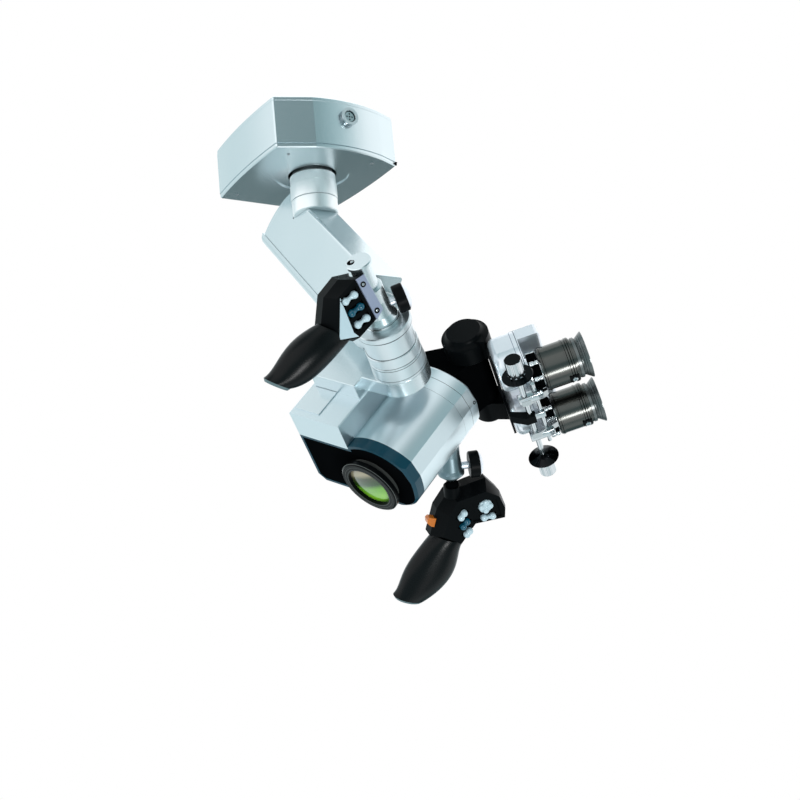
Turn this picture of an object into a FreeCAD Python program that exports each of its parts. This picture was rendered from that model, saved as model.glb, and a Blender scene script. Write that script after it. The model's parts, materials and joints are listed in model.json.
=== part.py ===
"""Head of a hanging surgical microscope: ceiling box, swivel, sloping arm, rotary joint, microscope
body, inclinable binocular tube and two control handles, each piece a solid of its own.

Frame: +Z up, origin on the swivel axis at the box's upper face, box front towards -Y.
All lengths in millimetres, all angles in degrees.
"""
import FreeCAD, Part
import math
import os
import re
import Sketcher
from FreeCAD import Placement, Rotation, Vector

# Driving dimensions
SIZES = {
    # ceiling box
    "box_front_width": 160.8, "box_back_width": 149.4, "box_front_reach": 60.8, "box_back_reach": 98.6,
    "box_height": 63, "box_front_bow": 20.5, "box_side_bow": 4, "box_wall": 3,
    "lid_height": 5.9, "floor_height": 5.4, "front_facet_left": 0.27, "front_facet_right": 0.84,
    "recess_depth": 1.6, "recess_rim": 44, "box_corner": 2.2,
    "socket_radius": 8.6, "socket_length": 9, "socket_x": 6, "socket_z": -22, "socket_pin": 0.9,
    "socket_pitch": 3.4,
    # swivel
    "flange_radius": 38, "flange_thick": 8, "mount_circle": 60, "mount_hole": 3.3, "mount_hole_depth": 7,
    "quill_radius": 24, "quill_end": 60, "journal_radius": 13, "race_radius": 20, "race_thick": 12,
    "race_top": 14, "race_low": 42, "run_gap": 0.05, "cable_bore": 7,
    "shaft_radius": 27.2, "shaft_top": 66, "shaft_seam": 94.3, "shaft_bottom": 112.4, "seam_gap": 0.3,
    "shaft_step": 0.6, "shaft_step_top": 76,
    # sloping arm
    "arm_slope": 45, "arm_thick": 41, "arm_upper": 67.8, "arm_lower": 141.3, "arm_top": 105,
    "arm_end": 263, "arm_edge": 3.5, "duct_depth": 15, "duct_thick": 38, "duct_start": 1, "duct_end": 250,
    "duct_round": 11, "shoulder_back": 91, "shoulder_front": 8, "shoulder_rise": 26.5,
    "shoulder_bow": 6.5, "fit_gap": 0.3,
    "end_ring_radius": 34, "end_ring_thick": 4,
    # rotary joint
    "joint_reach": 299, "joint_drop": 118.9, "stack_roll": 38.9, "neck_radius": 33.5, "neck_taper_at": 21,
    "neck_small": 25, "roll_journal": 13, "roll_journal_length": 26,
    "flange2_radius": 31.5, "flange2_top": -19, "flange2_low": -11.7, "barrel_radius": 28.8,
    "barrel_low": 13.5, "ring_radius": 30, "ring_low": 27.3, "turn_ring_top": 27.6,
    "turn_ring_low": 47.7, "ring_edge": 1.2, "stack_bore": 10, "pivot_radius": 9.9,
    # upper post
    "post_base": 20.7, "post_base_low": -19, "post_base_top": -23, "post_radius": 11.5, "post_end": -99,
    "ear_radius": 14.2, "ear_thick": 4, "ear_hole": 4.2, "ear_hole_at": 8,
    "sleeve_low": -23.4, "sleeve_base": 19.5, "sleeve_mid": -50, "sleeve_radius": 15, "sleeve_top": -68,
    # head
    "head_turn": 62.2, "bracket_low": 68, "bracket_round": 31, "bracket_front": 45.5, "bracket_step": 32.5,
    "bracket_left": 96, "bracket_back": 31, "bracket_edge": 1.2,
    "body_low": -90, "body_top": 45.5, "seam_one": 14, "body_left": 103, "block_right": 31,
    "block_left": 99, "block_depth": 104, "body_wall": 3,
    "dome_start_y": 100, "dome_end_x": 44.3, "dome_end_y": 112.6, "dome_bow": 12.2, "side_mid_x": 49.9,
    "side_mid_y": 133, "side_low_x": 46.2, "side_low_y": 160, "foot_x": 26, "foot_y": 180,
    "left_chamfer": 9, "band_height": 14.6, "cover_thick": 3, "cover_inset": 3.2,
    "hatch_right": 64.7, "hatch_front": -82, "hatch_back": -46, "hatch_lift": 1.2,
    "lens_x": -9, "lens_y": 147, "mount_ring_radius": 36.8, "mount_ring_low": -103,
    "mount_step_radius": 31.6,
    "mount_step_low": -96, "lens_radius": 27, "lens_thick": 7, "lens_bow": 2.6, "lens_seat": -99,
    "focus_thick": 9, "focus_at": -62, "zoom_radius": 18,
    "guide_radius": 26.4, "guide_wall": 3,
    # binocular tube
    "adapter_radius": 35.5, "adapter_thick": 7.3, "hinge_x": 14.8, "hinge_z": 95.5, "tube_tilt": 45,
    "lug_radius": 17, "lug_half": 36.5, "pin_radius": 6, "pin_half": 66, "drum_radius": 28,
    "drum_inner": 37, "drum_outer": 68, "drum_round": 8, "knuckle_radius": 19, "knuckle_outer": 66,
    "carrier_near": 17.4, "carrier_far": 20, "carrier_half": 54, "cheek_half": 64, "carrier_low": -62,
    "carrier_top": -3,
    "base_left": 40, "base_right": 20, "base_rise": 26,
    "eye_spacing": 72, "prism_near": 20.3, "prism_far": 54, "prism_half": 26, "prism_low": -51,
    "prism_high": -27, "prism_corner": 11, "prism_round": 8, "cap_far": 80, "cap_half": 24,
    "cap_low": -37, "cap_top": -12,
    "eye_line": -72, "neck_ring": 19, "tube_start": 68, "tube_radius": 24.7,
    "tube_step": 106.5, "tube_step_radius": 22.6, "tube_end": 112, "cup_end": 122, "cup_radius": 26.6,
    "cup_root": 21.4, "eye_bore": 14,
    "spindle_at": 40, "spindle_line": -101, "spindle_radius": 3.2, "knob_outer": 91, "knob_inner": 67,
    "knob_radius": 9.8, "skirt_radius": 17.8, "skirt_thick": 5, "nut_half": 26, "bearing_half": 5,
    "nut_thick": 7,
    # control handles
    "handle_turn": 192.6, "upper_drop": 38.4, "upper_tilt": 24, "lower_drop": 51.2, "lower_tilt": 13,
    "clamp_at": -56, "clamp_face": 16, "head_back": -17, "head_mid": -2, "head_face": 14,
    "lower_face": 15, "knob_at": 21.3, "knob_line": -37.2, "lower_knob_line": 18, "lower_knob_turn": 45,
    "grip_cap": 3, "plate_thick": 3.2,
    "rocker_length": 20, "rocker_width": 8.6, "rocker_height": 5.6, "rocker_sink": 2.4,
    "lower_base_x": 28, "lower_base_y": 180, "lower_base_z": -4, "post_lean": 20, "cone_root": 11.5,
    "cone_end": 15.5, "cone_length": 31, "ball_at": 42, "ball_radius": 8, "stem_radius": 4.4,
    "wing_radius": 15.6, "wing_thick": 12, "wing_dome": 4.5,
    "pad_radius": 9.5, "pad_height": 5, "trigger_width": 9,
}

doc = FreeCAD.newDocument("MicroscopeHead")
sheet = doc.addObject("Spreadsheet::Sheet", "Sizes")
for row, (alias, value) in enumerate(SIZES.items(), start=1):
    sheet.set("A%d" % row, alias)
    sheet.set("B%d" % row, str(value))
    sheet.setAlias("B%d" % row, alias)
doc.recompute()

NODES = {}


def bound(text):
    """Turn words that name a cell into references to the sheet."""
    def cell(match):
        word = match.group(0)
        return "Sizes." + word if word in SIZES else word
    return re.sub(r"[a-z][a-z_0-9]*", cell, str(text))


def worth(text):
    """Value of an expression over the sheet's cells."""
    return float(sheet.evalExpression(bound(text)))


def tie(item, prop, text):
    """Bind a property to the sheet and set it once for the first solve."""
    item.setExpression(prop, bound(text))


def axes(origin, along_x, along_y):
    """Placement whose local X and Y run along the two given unit vectors."""
    return Placement(origin, Rotation(along_x, along_y, along_x.cross(along_y), "XYZ"))


def node(item, name, place=None):
    """Name a finished sub-part and put it in its place."""
    item.Label = name
    if place is not None:
        item.Placement = place
    NODES[name] = item
    return item


def origin_plane(body, role):
    """The named plane of a body's own origin."""
    return [item for item in body.Origin.OriginFeatures if item.Role == role][0]


def arc_through(start, end, bow):
    """Arc of a circle from start to end that bulges by bow to the left of the way; with its turn."""
    chord = end - start
    half = chord.Length / 2
    radius = (half * half + bow * bow) / (2 * abs(bow))
    left = Vector(-chord.y, chord.x, 0).normalize() * (1 if bow > 0 else -1)
    centre = (start + end) * 0.5 - left * (radius - abs(bow))
    first, last = (end, start) if bow > 0 else (start, end)
    angles = [math.atan2(point.y - centre.y, point.x - centre.x) for point in (first, last)]
    if angles[1] < angles[0]:
        angles[1] += 2 * math.pi
    return Part.ArcOfCircle(Part.Circle(centre, Vector(0, 0, 1), radius), angles[0], angles[1])


def outline(body, role, points, offset=None):
    """Closed sketch on one of the body's planes.

    Each point is (x, y) or (x, y, bow) in words over the sheet; a bow bends the line to the next point.
    """
    sketch = body.newObject("Sketcher::SketchObject", body.Name + "_outline")
    sketch.AttachmentSupport = [(origin_plane(body, role), "")]
    sketch.MapMode = "FlatFace"
    if offset is not None:
        tie(sketch, "AttachmentOffset.Base.z", offset)
    corners = [Vector(worth(point[0]), worth(point[1]), 0) for point in points]
    count = len(points)
    ends = []
    for index, point in enumerate(points):
        start = corners[index]
        end = corners[(index + 1) % count]
        if len(point) > 2:
            bow = worth(point[2])
            sketch.addGeometry(arc_through(start, end, bow))
            ends.append((2, 1) if bow > 0 else (1, 2))
        else:
            sketch.addGeometry(Part.LineSegment(start, end))
            ends.append((1, 2))
    for index in range(count):
        after = (index + 1) % count
        sketch.addConstraint(Sketcher.Constraint("Coincident", index, ends[index][1], after, ends[after][0]))
    for index, point in enumerate(points):
        for kind, text, value in (("DistanceX", point[0], corners[index].x),
                                  ("DistanceY", point[1], corners[index].y)):
            number = sketch.addConstraint(Sketcher.Constraint(kind, -1, 1, index, ends[index][0], value))
            tie(sketch, "Constraints[%d]" % number, text)
        if len(point) > 2:
            there = points[(index + 1) % count]
            run = "((({})-({}))^2+(({})-({}))^2)".format(there[0], point[0], there[1], point[1])
            reach = "({}/(8*abs({}))+abs({})/2)".format(run, point[2], point[2])
            number = sketch.addConstraint(Sketcher.Constraint("Radius", index, worth(reach)))
            tie(sketch, "Constraints[%d]" % number, reach)
    return sketch


def disc(body, role, x, y, radius, offset=None):
    """Sketch of one circle."""
    sketch = body.newObject("Sketcher::SketchObject", body.Name + "_disc")
    sketch.AttachmentSupport = [(origin_plane(body, role), "")]
    sketch.MapMode = "FlatFace"
    if offset is not None:
        tie(sketch, "AttachmentOffset.Base.z", offset)
    centre = Vector(worth(x), worth(y), 0)
    sketch.addGeometry(Part.Circle(centre, Vector(0, 0, 1), worth(radius)))
    for kind, text, value in (("DistanceX", x, centre.x), ("DistanceY", y, centre.y)):
        number = sketch.addConstraint(Sketcher.Constraint(kind, -1, 1, 0, 3, value))
        tie(sketch, "Constraints[%d]" % number, text)
    number = sketch.addConstraint(Sketcher.Constraint("Radius", 0, worth(radius)))
    tie(sketch, "Constraints[%d]" % number, radius)
    return sketch


def new_body(name):
    """Empty body."""
    return doc.addObject("PartDesign::Body", name)


def grow(body, sketch, length, backwards=False):
    """Pad a sketch."""
    pad = body.newObject("PartDesign::Pad", body.Name + "_pad")
    pad.Profile = sketch
    tie(pad, "Length", length)
    pad.Reversed = backwards
    return pad


def sink(body, sketch, depth, backwards=False):
    """Pocket a sketch; without backwards the cut runs against the sketch's normal."""
    pocket = body.newObject("PartDesign::Pocket", body.Name + "_pocket")
    pocket.Profile = sketch
    tie(pocket, "Length", depth)
    pocket.Reversed = backwards
    return pocket


def prism(name, role, points, offset, length):
    """Body padded from a closed outline."""
    body = new_body(name)
    grow(body, outline(body, role, points, offset), length)
    return body


def turned(name, points):
    """Body revolved about its local Z from (radius, height) corners."""
    body = new_body(name)
    sketch = outline(body, "XZ_Plane", points)
    spin = body.newObject("PartDesign::Revolution", name + "_spin")
    spin.Profile = sketch
    spin.ReferenceAxis = (sketch, ["V_Axis"])
    spin.Angle = 360
    return body


def ring(name, inner, outer, low, high):
    """Turned ring with square edges."""
    return turned(name, [(inner, low), (outer, low), (outer, high), (inner, high)])


def soften(body, radius, wanted, kind="PartDesign::Fillet"):
    """Round or bevel the tip's edges that the test accepts."""
    doc.recompute()
    tip = body.Tip
    names = ["Edge%d" % number for number, edge in enumerate(tip.Shape.Edges, start=1) if wanted(edge)]
    dress = body.newObject(kind, body.Name + "_edge")
    dress.Base = (tip, names)
    tie(dress, "Radius" if kind.endswith("Fillet") else "Size", radius)
    return dress


def all_at(height, axis="z"):
    """Test for the outer edges that lie wholly at one local height."""
    level = worth(height)
    return lambda edge: (len(edge.Vertexes) > 1
                         and all(abs(getattr(vertex.Point,
                             axis) - level) < 1e-4 for vertex in edge.Vertexes))


def rod(name, radius, length, place):
    """Plain cylinder from its base point along local Z."""
    item = doc.addObject("Part::Cylinder", name)
    tie(item, "Radius", radius)
    tie(item, "Height", length)
    item.Placement = place
    return item


def cut(name, base, tool):
    """Base less tool."""
    item = doc.addObject("Part::Cut", name)
    item.Base = base
    item.Tool = tool
    return item


def joined(name, pieces):
    """Union of several pieces of one casting."""
    item = doc.addObject("Part::MultiFuse", name)
    item.Shapes = pieces
    return item


def gathered(name, pieces):
    """Like pieces kept apart in one node."""
    item = doc.addObject("Part::Compound", name)
    item.Links = pieces
    return item


def shifted(place, x=0, y=0, z=0):
    """Placement moved along its own axes."""
    return place.multiply(Placement(Vector(x, y, z), Rotation()))


def aimed(place, x, y, z, way):
    """Placement at a local point with its Z along a local direction."""
    return place.multiply(Placement(Vector(x, y, z), Rotation(Vector(0, 0, 1), Vector(*way))))


# Frames of the assembly
slope = math.radians(worth("arm_slope"))
DOWN_ARM = Vector(0, -math.cos(slope), -math.sin(slope))
OFF_ARM = Vector(0, math.sin(slope), -math.cos(slope))
UP_ARM = DOWN_ARM * -1
roll = math.radians(worth("stack_roll"))
STACK_AXIS = OFF_ARM * math.cos(roll) + Vector(1, 0, 0) * math.sin(roll)
JOINT = DOWN_ARM * worth("joint_reach") + OFF_ARM * worth("joint_drop")


def about_stack(degrees):
    """Frame at the joint with Y down the stack and Z turned from the arm by an angle."""
    angle = math.radians(degrees)
    toward = UP_ARM * math.cos(angle) + STACK_AXIS.cross(UP_ARM) * math.sin(angle)
    return axes(JOINT, STACK_AXIS.cross(toward), STACK_AXIS)


WORLD = Placement()
ROLL = axes(JOINT, Vector(1, 0, 0), DOWN_ARM.cross(Vector(1, 0, 0)))
HEAD = about_stack(worth("head_turn"))
STACK = HEAD.multiply(Placement(Vector(), Rotation(Vector(1, 0, 0), -90)))
LENS = shifted(HEAD, worth("lens_x"), worth("lens_y"))
HINGE = shifted(HEAD, worth("hinge_x"), worth("lens_y"), worth("hinge_z"))
TUBE = HINGE.multiply(Placement(Vector(), Rotation(Vector(0, 1, 0), worth("tube_tilt") - 90)))
GRIP_SIDE = about_stack(worth("handle_turn"))


def handle_frame(origin, drop, tilt):
    """Frame of a handle: X towards the grip's end, Z out of the keypad."""
    lowered = Rotation(Vector(0, 0, 1), drop)
    leaned = Rotation(Vector(0, 1, 0), -tilt)
    return Placement(origin, GRIP_SIDE.Rotation.multiply(lowered).multiply(leaned))


# Ceiling box
def box_outline(inset="0"):
    """Plan of the box: bowed front of three facets, slightly bulging sides, straight back."""
    front = "-box_front_reach+({})".format(inset)
    left = "-box_front_width/2+({})".format(inset)
    right = "box_front_width/2-({})".format(inset)
    back = "box_back_reach-({})".format(inset)
    facet_left = "-box_front_width/2+box_front_width*front_facet_left"
    facet_right = "-box_front_width/2+box_front_width*front_facet_right"
    facet_rise = "4*box_front_bow*({0})*(1-({0}))"
    return [
        (left, front),
        (facet_left, front + "-" + facet_rise.format("front_facet_left"), "-box_front_bow*0.3"),
        (facet_right, front + "-" + facet_rise.format("front_facet_right")),
        (right, front, "-box_side_bow"),
        ("box_back_width/2-({})".format(inset), back),
        ("-box_back_width/2+({})".format(inset), back, "-box_side_bow"),
    ]


def upright(edge):
    """Edges along local Z."""
    return edge.BoundBox.XLength < 1e-4 and edge.BoundBox.YLength < 1e-4


def ceiling_box():
    """Lid, walls and floor of the box with its socket."""
    walls = prism("box_shell", "XY_Plane", box_outline(), "-box_height+floor_height",
        "box_height-floor_height-lid_height")
    soften(walls, "box_corner", upright)
    inner = outline(walls, "XY_Plane", box_outline("box_wall"), "-box_height+floor_height")
    sink(walls, inner, "box_height", True)
    hole = disc(walls, "XZ_Plane", "socket_x", "socket_z", "socket_radius+fit_gap")
    sink(walls, hole, "box_front_reach+box_front_bow*2", True)
    node(walls, "box_shell", WORLD)

    lid = prism("top_cover", "XY_Plane", box_outline("0.4"), "-lid_height", "lid_height")
    soften(lid, "box_corner", upright)
    soften(lid, "0.9", all_at("-lid_height"), "PartDesign::Chamfer")
    soften(lid, "1.6", all_at("0"), "PartDesign::Chamfer")
    sink(lid, disc(lid, "XY_Plane", "0", "0", "flange_radius"), "lid_height")
    node(lid, "top_cover", WORLD)

    floor = prism("bottom_plate", "XY_Plane", box_outline("0.4"), "-box_height", "floor_height")
    soften(floor, "box_corner", upright)
    soften(floor, "1.2", all_at("-box_height"), "PartDesign::Chamfer")
    soften(floor, "0.9", all_at("-box_height+floor_height"), "PartDesign::Chamfer")
    sink(floor, disc(floor, "XY_Plane", "0", "0", "shaft_radius+1.8"), "box_height")
    sink(floor, disc(floor, "XY_Plane", "0", "0", "recess_rim", "-box_height"), "recess_depth", True)
    node(floor, "bottom_plate", WORLD)

    socket = turned("front_socket", [
        ("0", "0"), ("socket_radius", "0"), ("socket_radius", "socket_length"),
        ("socket_radius+2", "socket_length"), ("socket_radius+2", "socket_length+2"),
        ("socket_radius-1.2", "socket_length+2"), ("socket_radius-2.2", "socket_length"), ("0",
        "socket_length")])
    for across, up in ((0, 0), (1, 0), (-1, 0), (0, 1), (0, -1)):
        pin = disc(socket, "XY_Plane", "%d*socket_pitch" % across, "%d*socket_pitch" % up, "socket_pin",
                   "socket_length")
        sink(socket, pin, "3")
    front = worth("box_front_reach+box_front_bow*1.18-socket_length-0.6")
    face_out = axes(Vector(worth("socket_x"), -front, worth("socket_z")), Vector(1, 0, 0), Vector(0, 0, 1))
    node(socket, "front_socket", face_out)


def swivel():
    """Quill, bearings and the hanging shaft."""
    quill = turned("bearing_quill", [
        ("race_radius", "0"), ("flange_radius", "0"), ("flange_radius", "-flange_thick"),
        ("quill_radius", "-flange_thick"), ("quill_radius", "-quill_end"), ("race_radius", "-quill_end")])
    for number in range(4):
        angle = "%d" % (45 + 90 * number)
        hole = disc(quill, "XY_Plane", "mount_circle/2*cos(%s)" % angle,
            "mount_circle/2*sin(%s)" % angle, "mount_hole")
        sink(quill, hole, "mount_hole_depth")
    node(quill, "bearing_quill", WORLD)

    races = []
    for top in ("race_top", "race_low"):
        races.append(ring("race_" + top, "journal_radius+run_gap", "race_radius", "-%s-race_thick" % top,
            "-" + top))
    node(gathered("race_pair", races), "swivel_bearings")

    shaft = turned("swivel_shaft", [
        ("cable_bore", "-3"), ("journal_radius", "-3"), ("journal_radius", "-shaft_top+3"),
        ("shaft_radius-2", "-shaft_top+3"), ("shaft_radius", "-shaft_top+1"), ("shaft_radius",
        "-shaft_step_top"),
        ("shaft_radius+shaft_step", "-shaft_step_top-0.6"), ("shaft_radius+shaft_step", "-shaft_seam"),
        ("cable_bore", "-shaft_seam")])
    node(shaft, "swivel_shaft", WORLD)
    cap = turned("shaft_cap", [
        ("0", "-shaft_seam-seam_gap"), ("shaft_radius-0.8", "-shaft_seam-seam_gap"),
        ("shaft_radius", "-shaft_seam-seam_gap-0.8"), ("shaft_radius", "-shaft_bottom+1.2"),
        ("shaft_radius-1.2", "-shaft_bottom"), ("0", "-shaft_bottom")])
    spigot = outline(cap, "XZ_Plane", [
        ("0", "-shaft_seam-seam_gap-1"), ("cable_bore-0.05", "-shaft_seam-seam_gap-1"),
        ("cable_bore-0.05", "-shaft_seam+8"), ("0", "-shaft_seam+8")])
    stub = cap.newObject("PartDesign::Revolution", "spigot_spin")
    stub.Profile = spigot
    stub.ReferenceAxis = (spigot, ["V_Axis"])
    stub.Angle = 360
    node(cap, "shaft_cap", WORLD)


# Sloping arm
def on_slope(along, off):
    """World (y, z) of a point of the arm's side view."""
    return ("-({0})*cos(arm_slope)+({1})*sin(arm_slope)".format(along, off),
            "-({0})*sin(arm_slope)-({1})*cos(arm_slope)".format(along, off))


def arm():
    """Arm casting, its shoulder cover, underside duct and end ring."""
    level = "(arm_top-({})*cos(arm_slope))/sin(arm_slope)"
    body = prism("arm_body", "YZ_Plane", [
        on_slope(level.format("arm_upper"), "arm_upper"), on_slope("arm_end", "arm_upper"),
        on_slope("arm_end", "arm_lower"), on_slope(level.format("arm_lower"), "arm_lower")],
        "-arm_thick/2", "arm_thick")
    half = worth("arm_thick/2")
    end_low = JOINT + DOWN_ARM * (worth("arm_end") - worth("joint_reach"))

    def long_edge(edge):
        if len(edge.Vertexes) < 2 or abs(abs(edge.Vertexes[0].X) - half) > 1e-3:
            return False
        way = edge.Vertexes[1].Point - edge.Vertexes[0].Point
        return abs(way.x) < 1e-3 and abs(abs(way.dot(DOWN_ARM)) - way.Length) < 1e-3
    soften(body, "arm_edge", long_edge)
    sink(body, disc(body, "XY_Plane", "0", "0", "shaft_radius+shaft_step+0.1", "-arm_top+10"),
         "10+shaft_bottom-arm_top+0.2")
    bore = rod("roll_bore", "roll_journal+run_gap", "roll_journal_length+1",
               Placement(end_low, Rotation(Vector(0, 0, 1), UP_ARM)))
    node(cut("arm_cut", body, bore), "arm_housing")

    shoulder = prism("shoulder_cover", "YZ_Plane", [
        ("0", "-arm_top"), ("shoulder_back", "-arm_top", "-shoulder_bow"),
        ("shoulder_front", "-arm_top+shoulder_rise"), ("0", "-arm_top+shoulder_rise")],
        "-arm_thick/2", "arm_thick")
    sink(shoulder, disc(shoulder, "XY_Plane", "0", "0", "shaft_radius+shaft_step+0.1", "-arm_top"),
        "arm_top", True)
    node(shoulder, "shoulder_cover", WORLD)

    duct = prism("duct_cover", "YZ_Plane", [
        on_slope("duct_start", "arm_lower"), on_slope("duct_end", "arm_lower"),
        on_slope("duct_end-duct_depth/2", "arm_lower+duct_depth"), on_slope("duct_start+3",
            "arm_lower+duct_depth")],
        "-duct_thick/2", "duct_thick")
    far = worth("arm_lower+duct_depth")

    def outer_edge(edge):
        return all(abs(vertex.Point.dot(OFF_ARM) - far) < 1e-3 for vertex in edge.Vertexes)
    soften(duct, "duct_round", outer_edge)
    node(duct, "duct_cover", WORLD)

    place = ROLL.multiply(Placement(Vector(0, 0, worth("arm_end-joint_reach")), Rotation()))
    end_ring = turned("arm_end_ring", [
        ("roll_journal+run_gap", "0"), ("end_ring_radius-1", "0"), ("end_ring_radius", "1"),
        ("end_ring_radius", "end_ring_thick-0.6"), ("end_ring_radius-0.6", "end_ring_thick"),
        ("roll_journal+run_gap", "end_ring_thick")])
    node(end_ring, "arm_end_ring", place)


# Rotary joint below the arm
def rotary_joint():
    """Joint casting with its ring, the turning ring below and the post above."""
    start = "arm_end+end_ring_thick+seam_gap-joint_reach"
    neck = turned("joint_neck", [
        ("0", start + "-end_ring_thick-roll_journal_length"),
        ("roll_journal", start + "-end_ring_thick-roll_journal_length"), ("roll_journal", start),
        ("neck_radius-1", start), ("neck_radius", start + "+1"), ("neck_radius", "-neck_taper_at"),
        ("neck_small", "0"), ("0", "0")])
    neck.Placement = ROLL
    barrel = turned("joint_barrel", [
        ("0", "barrel_low"), ("barrel_radius", "barrel_low"), ("barrel_radius", "flange2_low"),
        ("flange2_radius", "flange2_low"), ("flange2_radius", "flange2_top+1"), ("flange2_radius-1",
        "flange2_top"),
        ("0", "flange2_top")])
    barrel.Placement = STACK
    above = rod("room_above", "flange2_radius+1.5", "60", aimed(STACK, 0, 0, worth("flange2_top"), (0, 0,
        -1)))
    below = rod("room_below", "ring_radius+2", "60", shifted(STACK, 0, 0, worth("barrel_low")))
    bore = rod("stack_hole", "stack_bore", "60", shifted(STACK, 0, 0, worth("barrel_low") - 16))
    cast = cut("joint_cast", joined("joint_whole", [neck, barrel]), joined("joint_room", [above, below,
        bore]))
    node(cast, "joint_housing")

    collar = turned("joint_collar", [
        ("stack_bore", "barrel_low"), ("ring_radius-ring_edge", "barrel_low"), ("ring_radius",
        "barrel_low+ring_edge"),
        ("ring_radius", "ring_low-ring_edge/2"), ("ring_radius-ring_edge/2", "ring_low"), ("stack_bore",
        "ring_low")])
    node(collar, "joint_collar", STACK)

    turn = turned("turning_ring", [
        ("0", "barrel_low+2"), ("pivot_radius", "barrel_low+2"), ("pivot_radius", "turn_ring_top"),
        ("ring_radius-ring_edge/2", "turn_ring_top"), ("ring_radius", "turn_ring_top+ring_edge/2"),
        ("ring_radius+1", "turn_ring_low-3"), ("ring_radius+1", "turn_ring_low"), ("0", "turn_ring_low")])
    node(turn, "turning_ring", STACK)

    post = turned("upper_post", [
        ("0", "post_base_low"), ("post_base", "post_base_low"), ("post_base", "post_base_top+1"),
        ("post_base-1", "post_base_top"), ("post_radius", "post_base_top"), ("post_radius", "post_end"),
        ("ear_radius", "post_end"), ("ear_radius", "post_end-ear_thick+1"), ("ear_radius-1",
        "post_end-ear_thick"),
        ("0", "post_end-ear_thick")])
    notch = disc(post, "XY_Plane", "-ear_hole_at*0.8", "ear_hole_at*0.6", "ear_hole", "post_end-ear_thick")
    sink(post, notch, "ear_thick*0.7", True)
    node(post, "upper_post", STACK)


# Microscope body
def body_outline(inset="0"):
    """Section of the microscope body: squared block on the left, domed and faceted on the right."""
    return [
        ("-body_left+({})".format(inset), "bracket_low+({})".format(inset)),
        ("-block_right-({})".format(inset), "bracket_low+({})".format(inset)),
        ("-block_right-({})".format(inset), "dome_start_y+({})".format(inset), "-dome_bow"),
        ("dome_end_x-({})".format(inset), "dome_end_y+({})".format(inset)),
        ("side_mid_x-({})".format(inset), "side_mid_y", "-0.8"),
        ("side_low_x-({})".format(inset), "side_low_y", "-2.5"),
        ("foot_x-({})/2".format(inset), "foot_y-({})".format(inset)),
        ("-body_left+left_chamfer", "foot_y-({})".format(inset)),
        ("-body_left+({})".format(inset), "foot_y-left_chamfer"),
    ]


def band_outline(inset="0"):
    """Section of the lower end in front of which the block stands."""
    return [
        ("-body_left+({})".format(inset), "block_depth+abs({})".format(inset)),
        ("-block_right+({})".format(inset), "block_depth+abs({})".format(inset)),
        ("-block_right+({})".format(inset), "dome_start_y+({})".format(inset), "-dome_bow"),
        ("dome_end_x-({})".format(inset), "dome_end_y+({})".format(inset)),
        ("side_mid_x-({})".format(inset), "side_mid_y", "-0.8"),
        ("side_low_x-({})".format(inset), "side_low_y", "-2.5"),
        ("foot_x-({})/2".format(inset), "foot_y-({})".format(inset)),
        ("-body_left+left_chamfer", "foot_y-({})".format(inset)),
        ("-body_left+({})".format(inset), "foot_y-left_chamfer"),
    ]


def dome_outline(inset="0"):
    """Section of the body's upper end, which lacks the block."""
    return [
        ("-block_right", "dome_start_y+({})".format(inset), "-dome_bow"),
        ("dome_end_x-({})".format(inset), "dome_end_y+({})".format(inset)),
        ("side_mid_x-({})".format(inset), "side_mid_y", "-0.8"),
        ("side_low_x-({})".format(inset), "side_low_y", "-2.5"),
        ("foot_x-({})/2".format(inset), "foot_y-({})".format(inset)),
        ("-block_right-40", "foot_y-({})".format(inset)),
    ]


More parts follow.
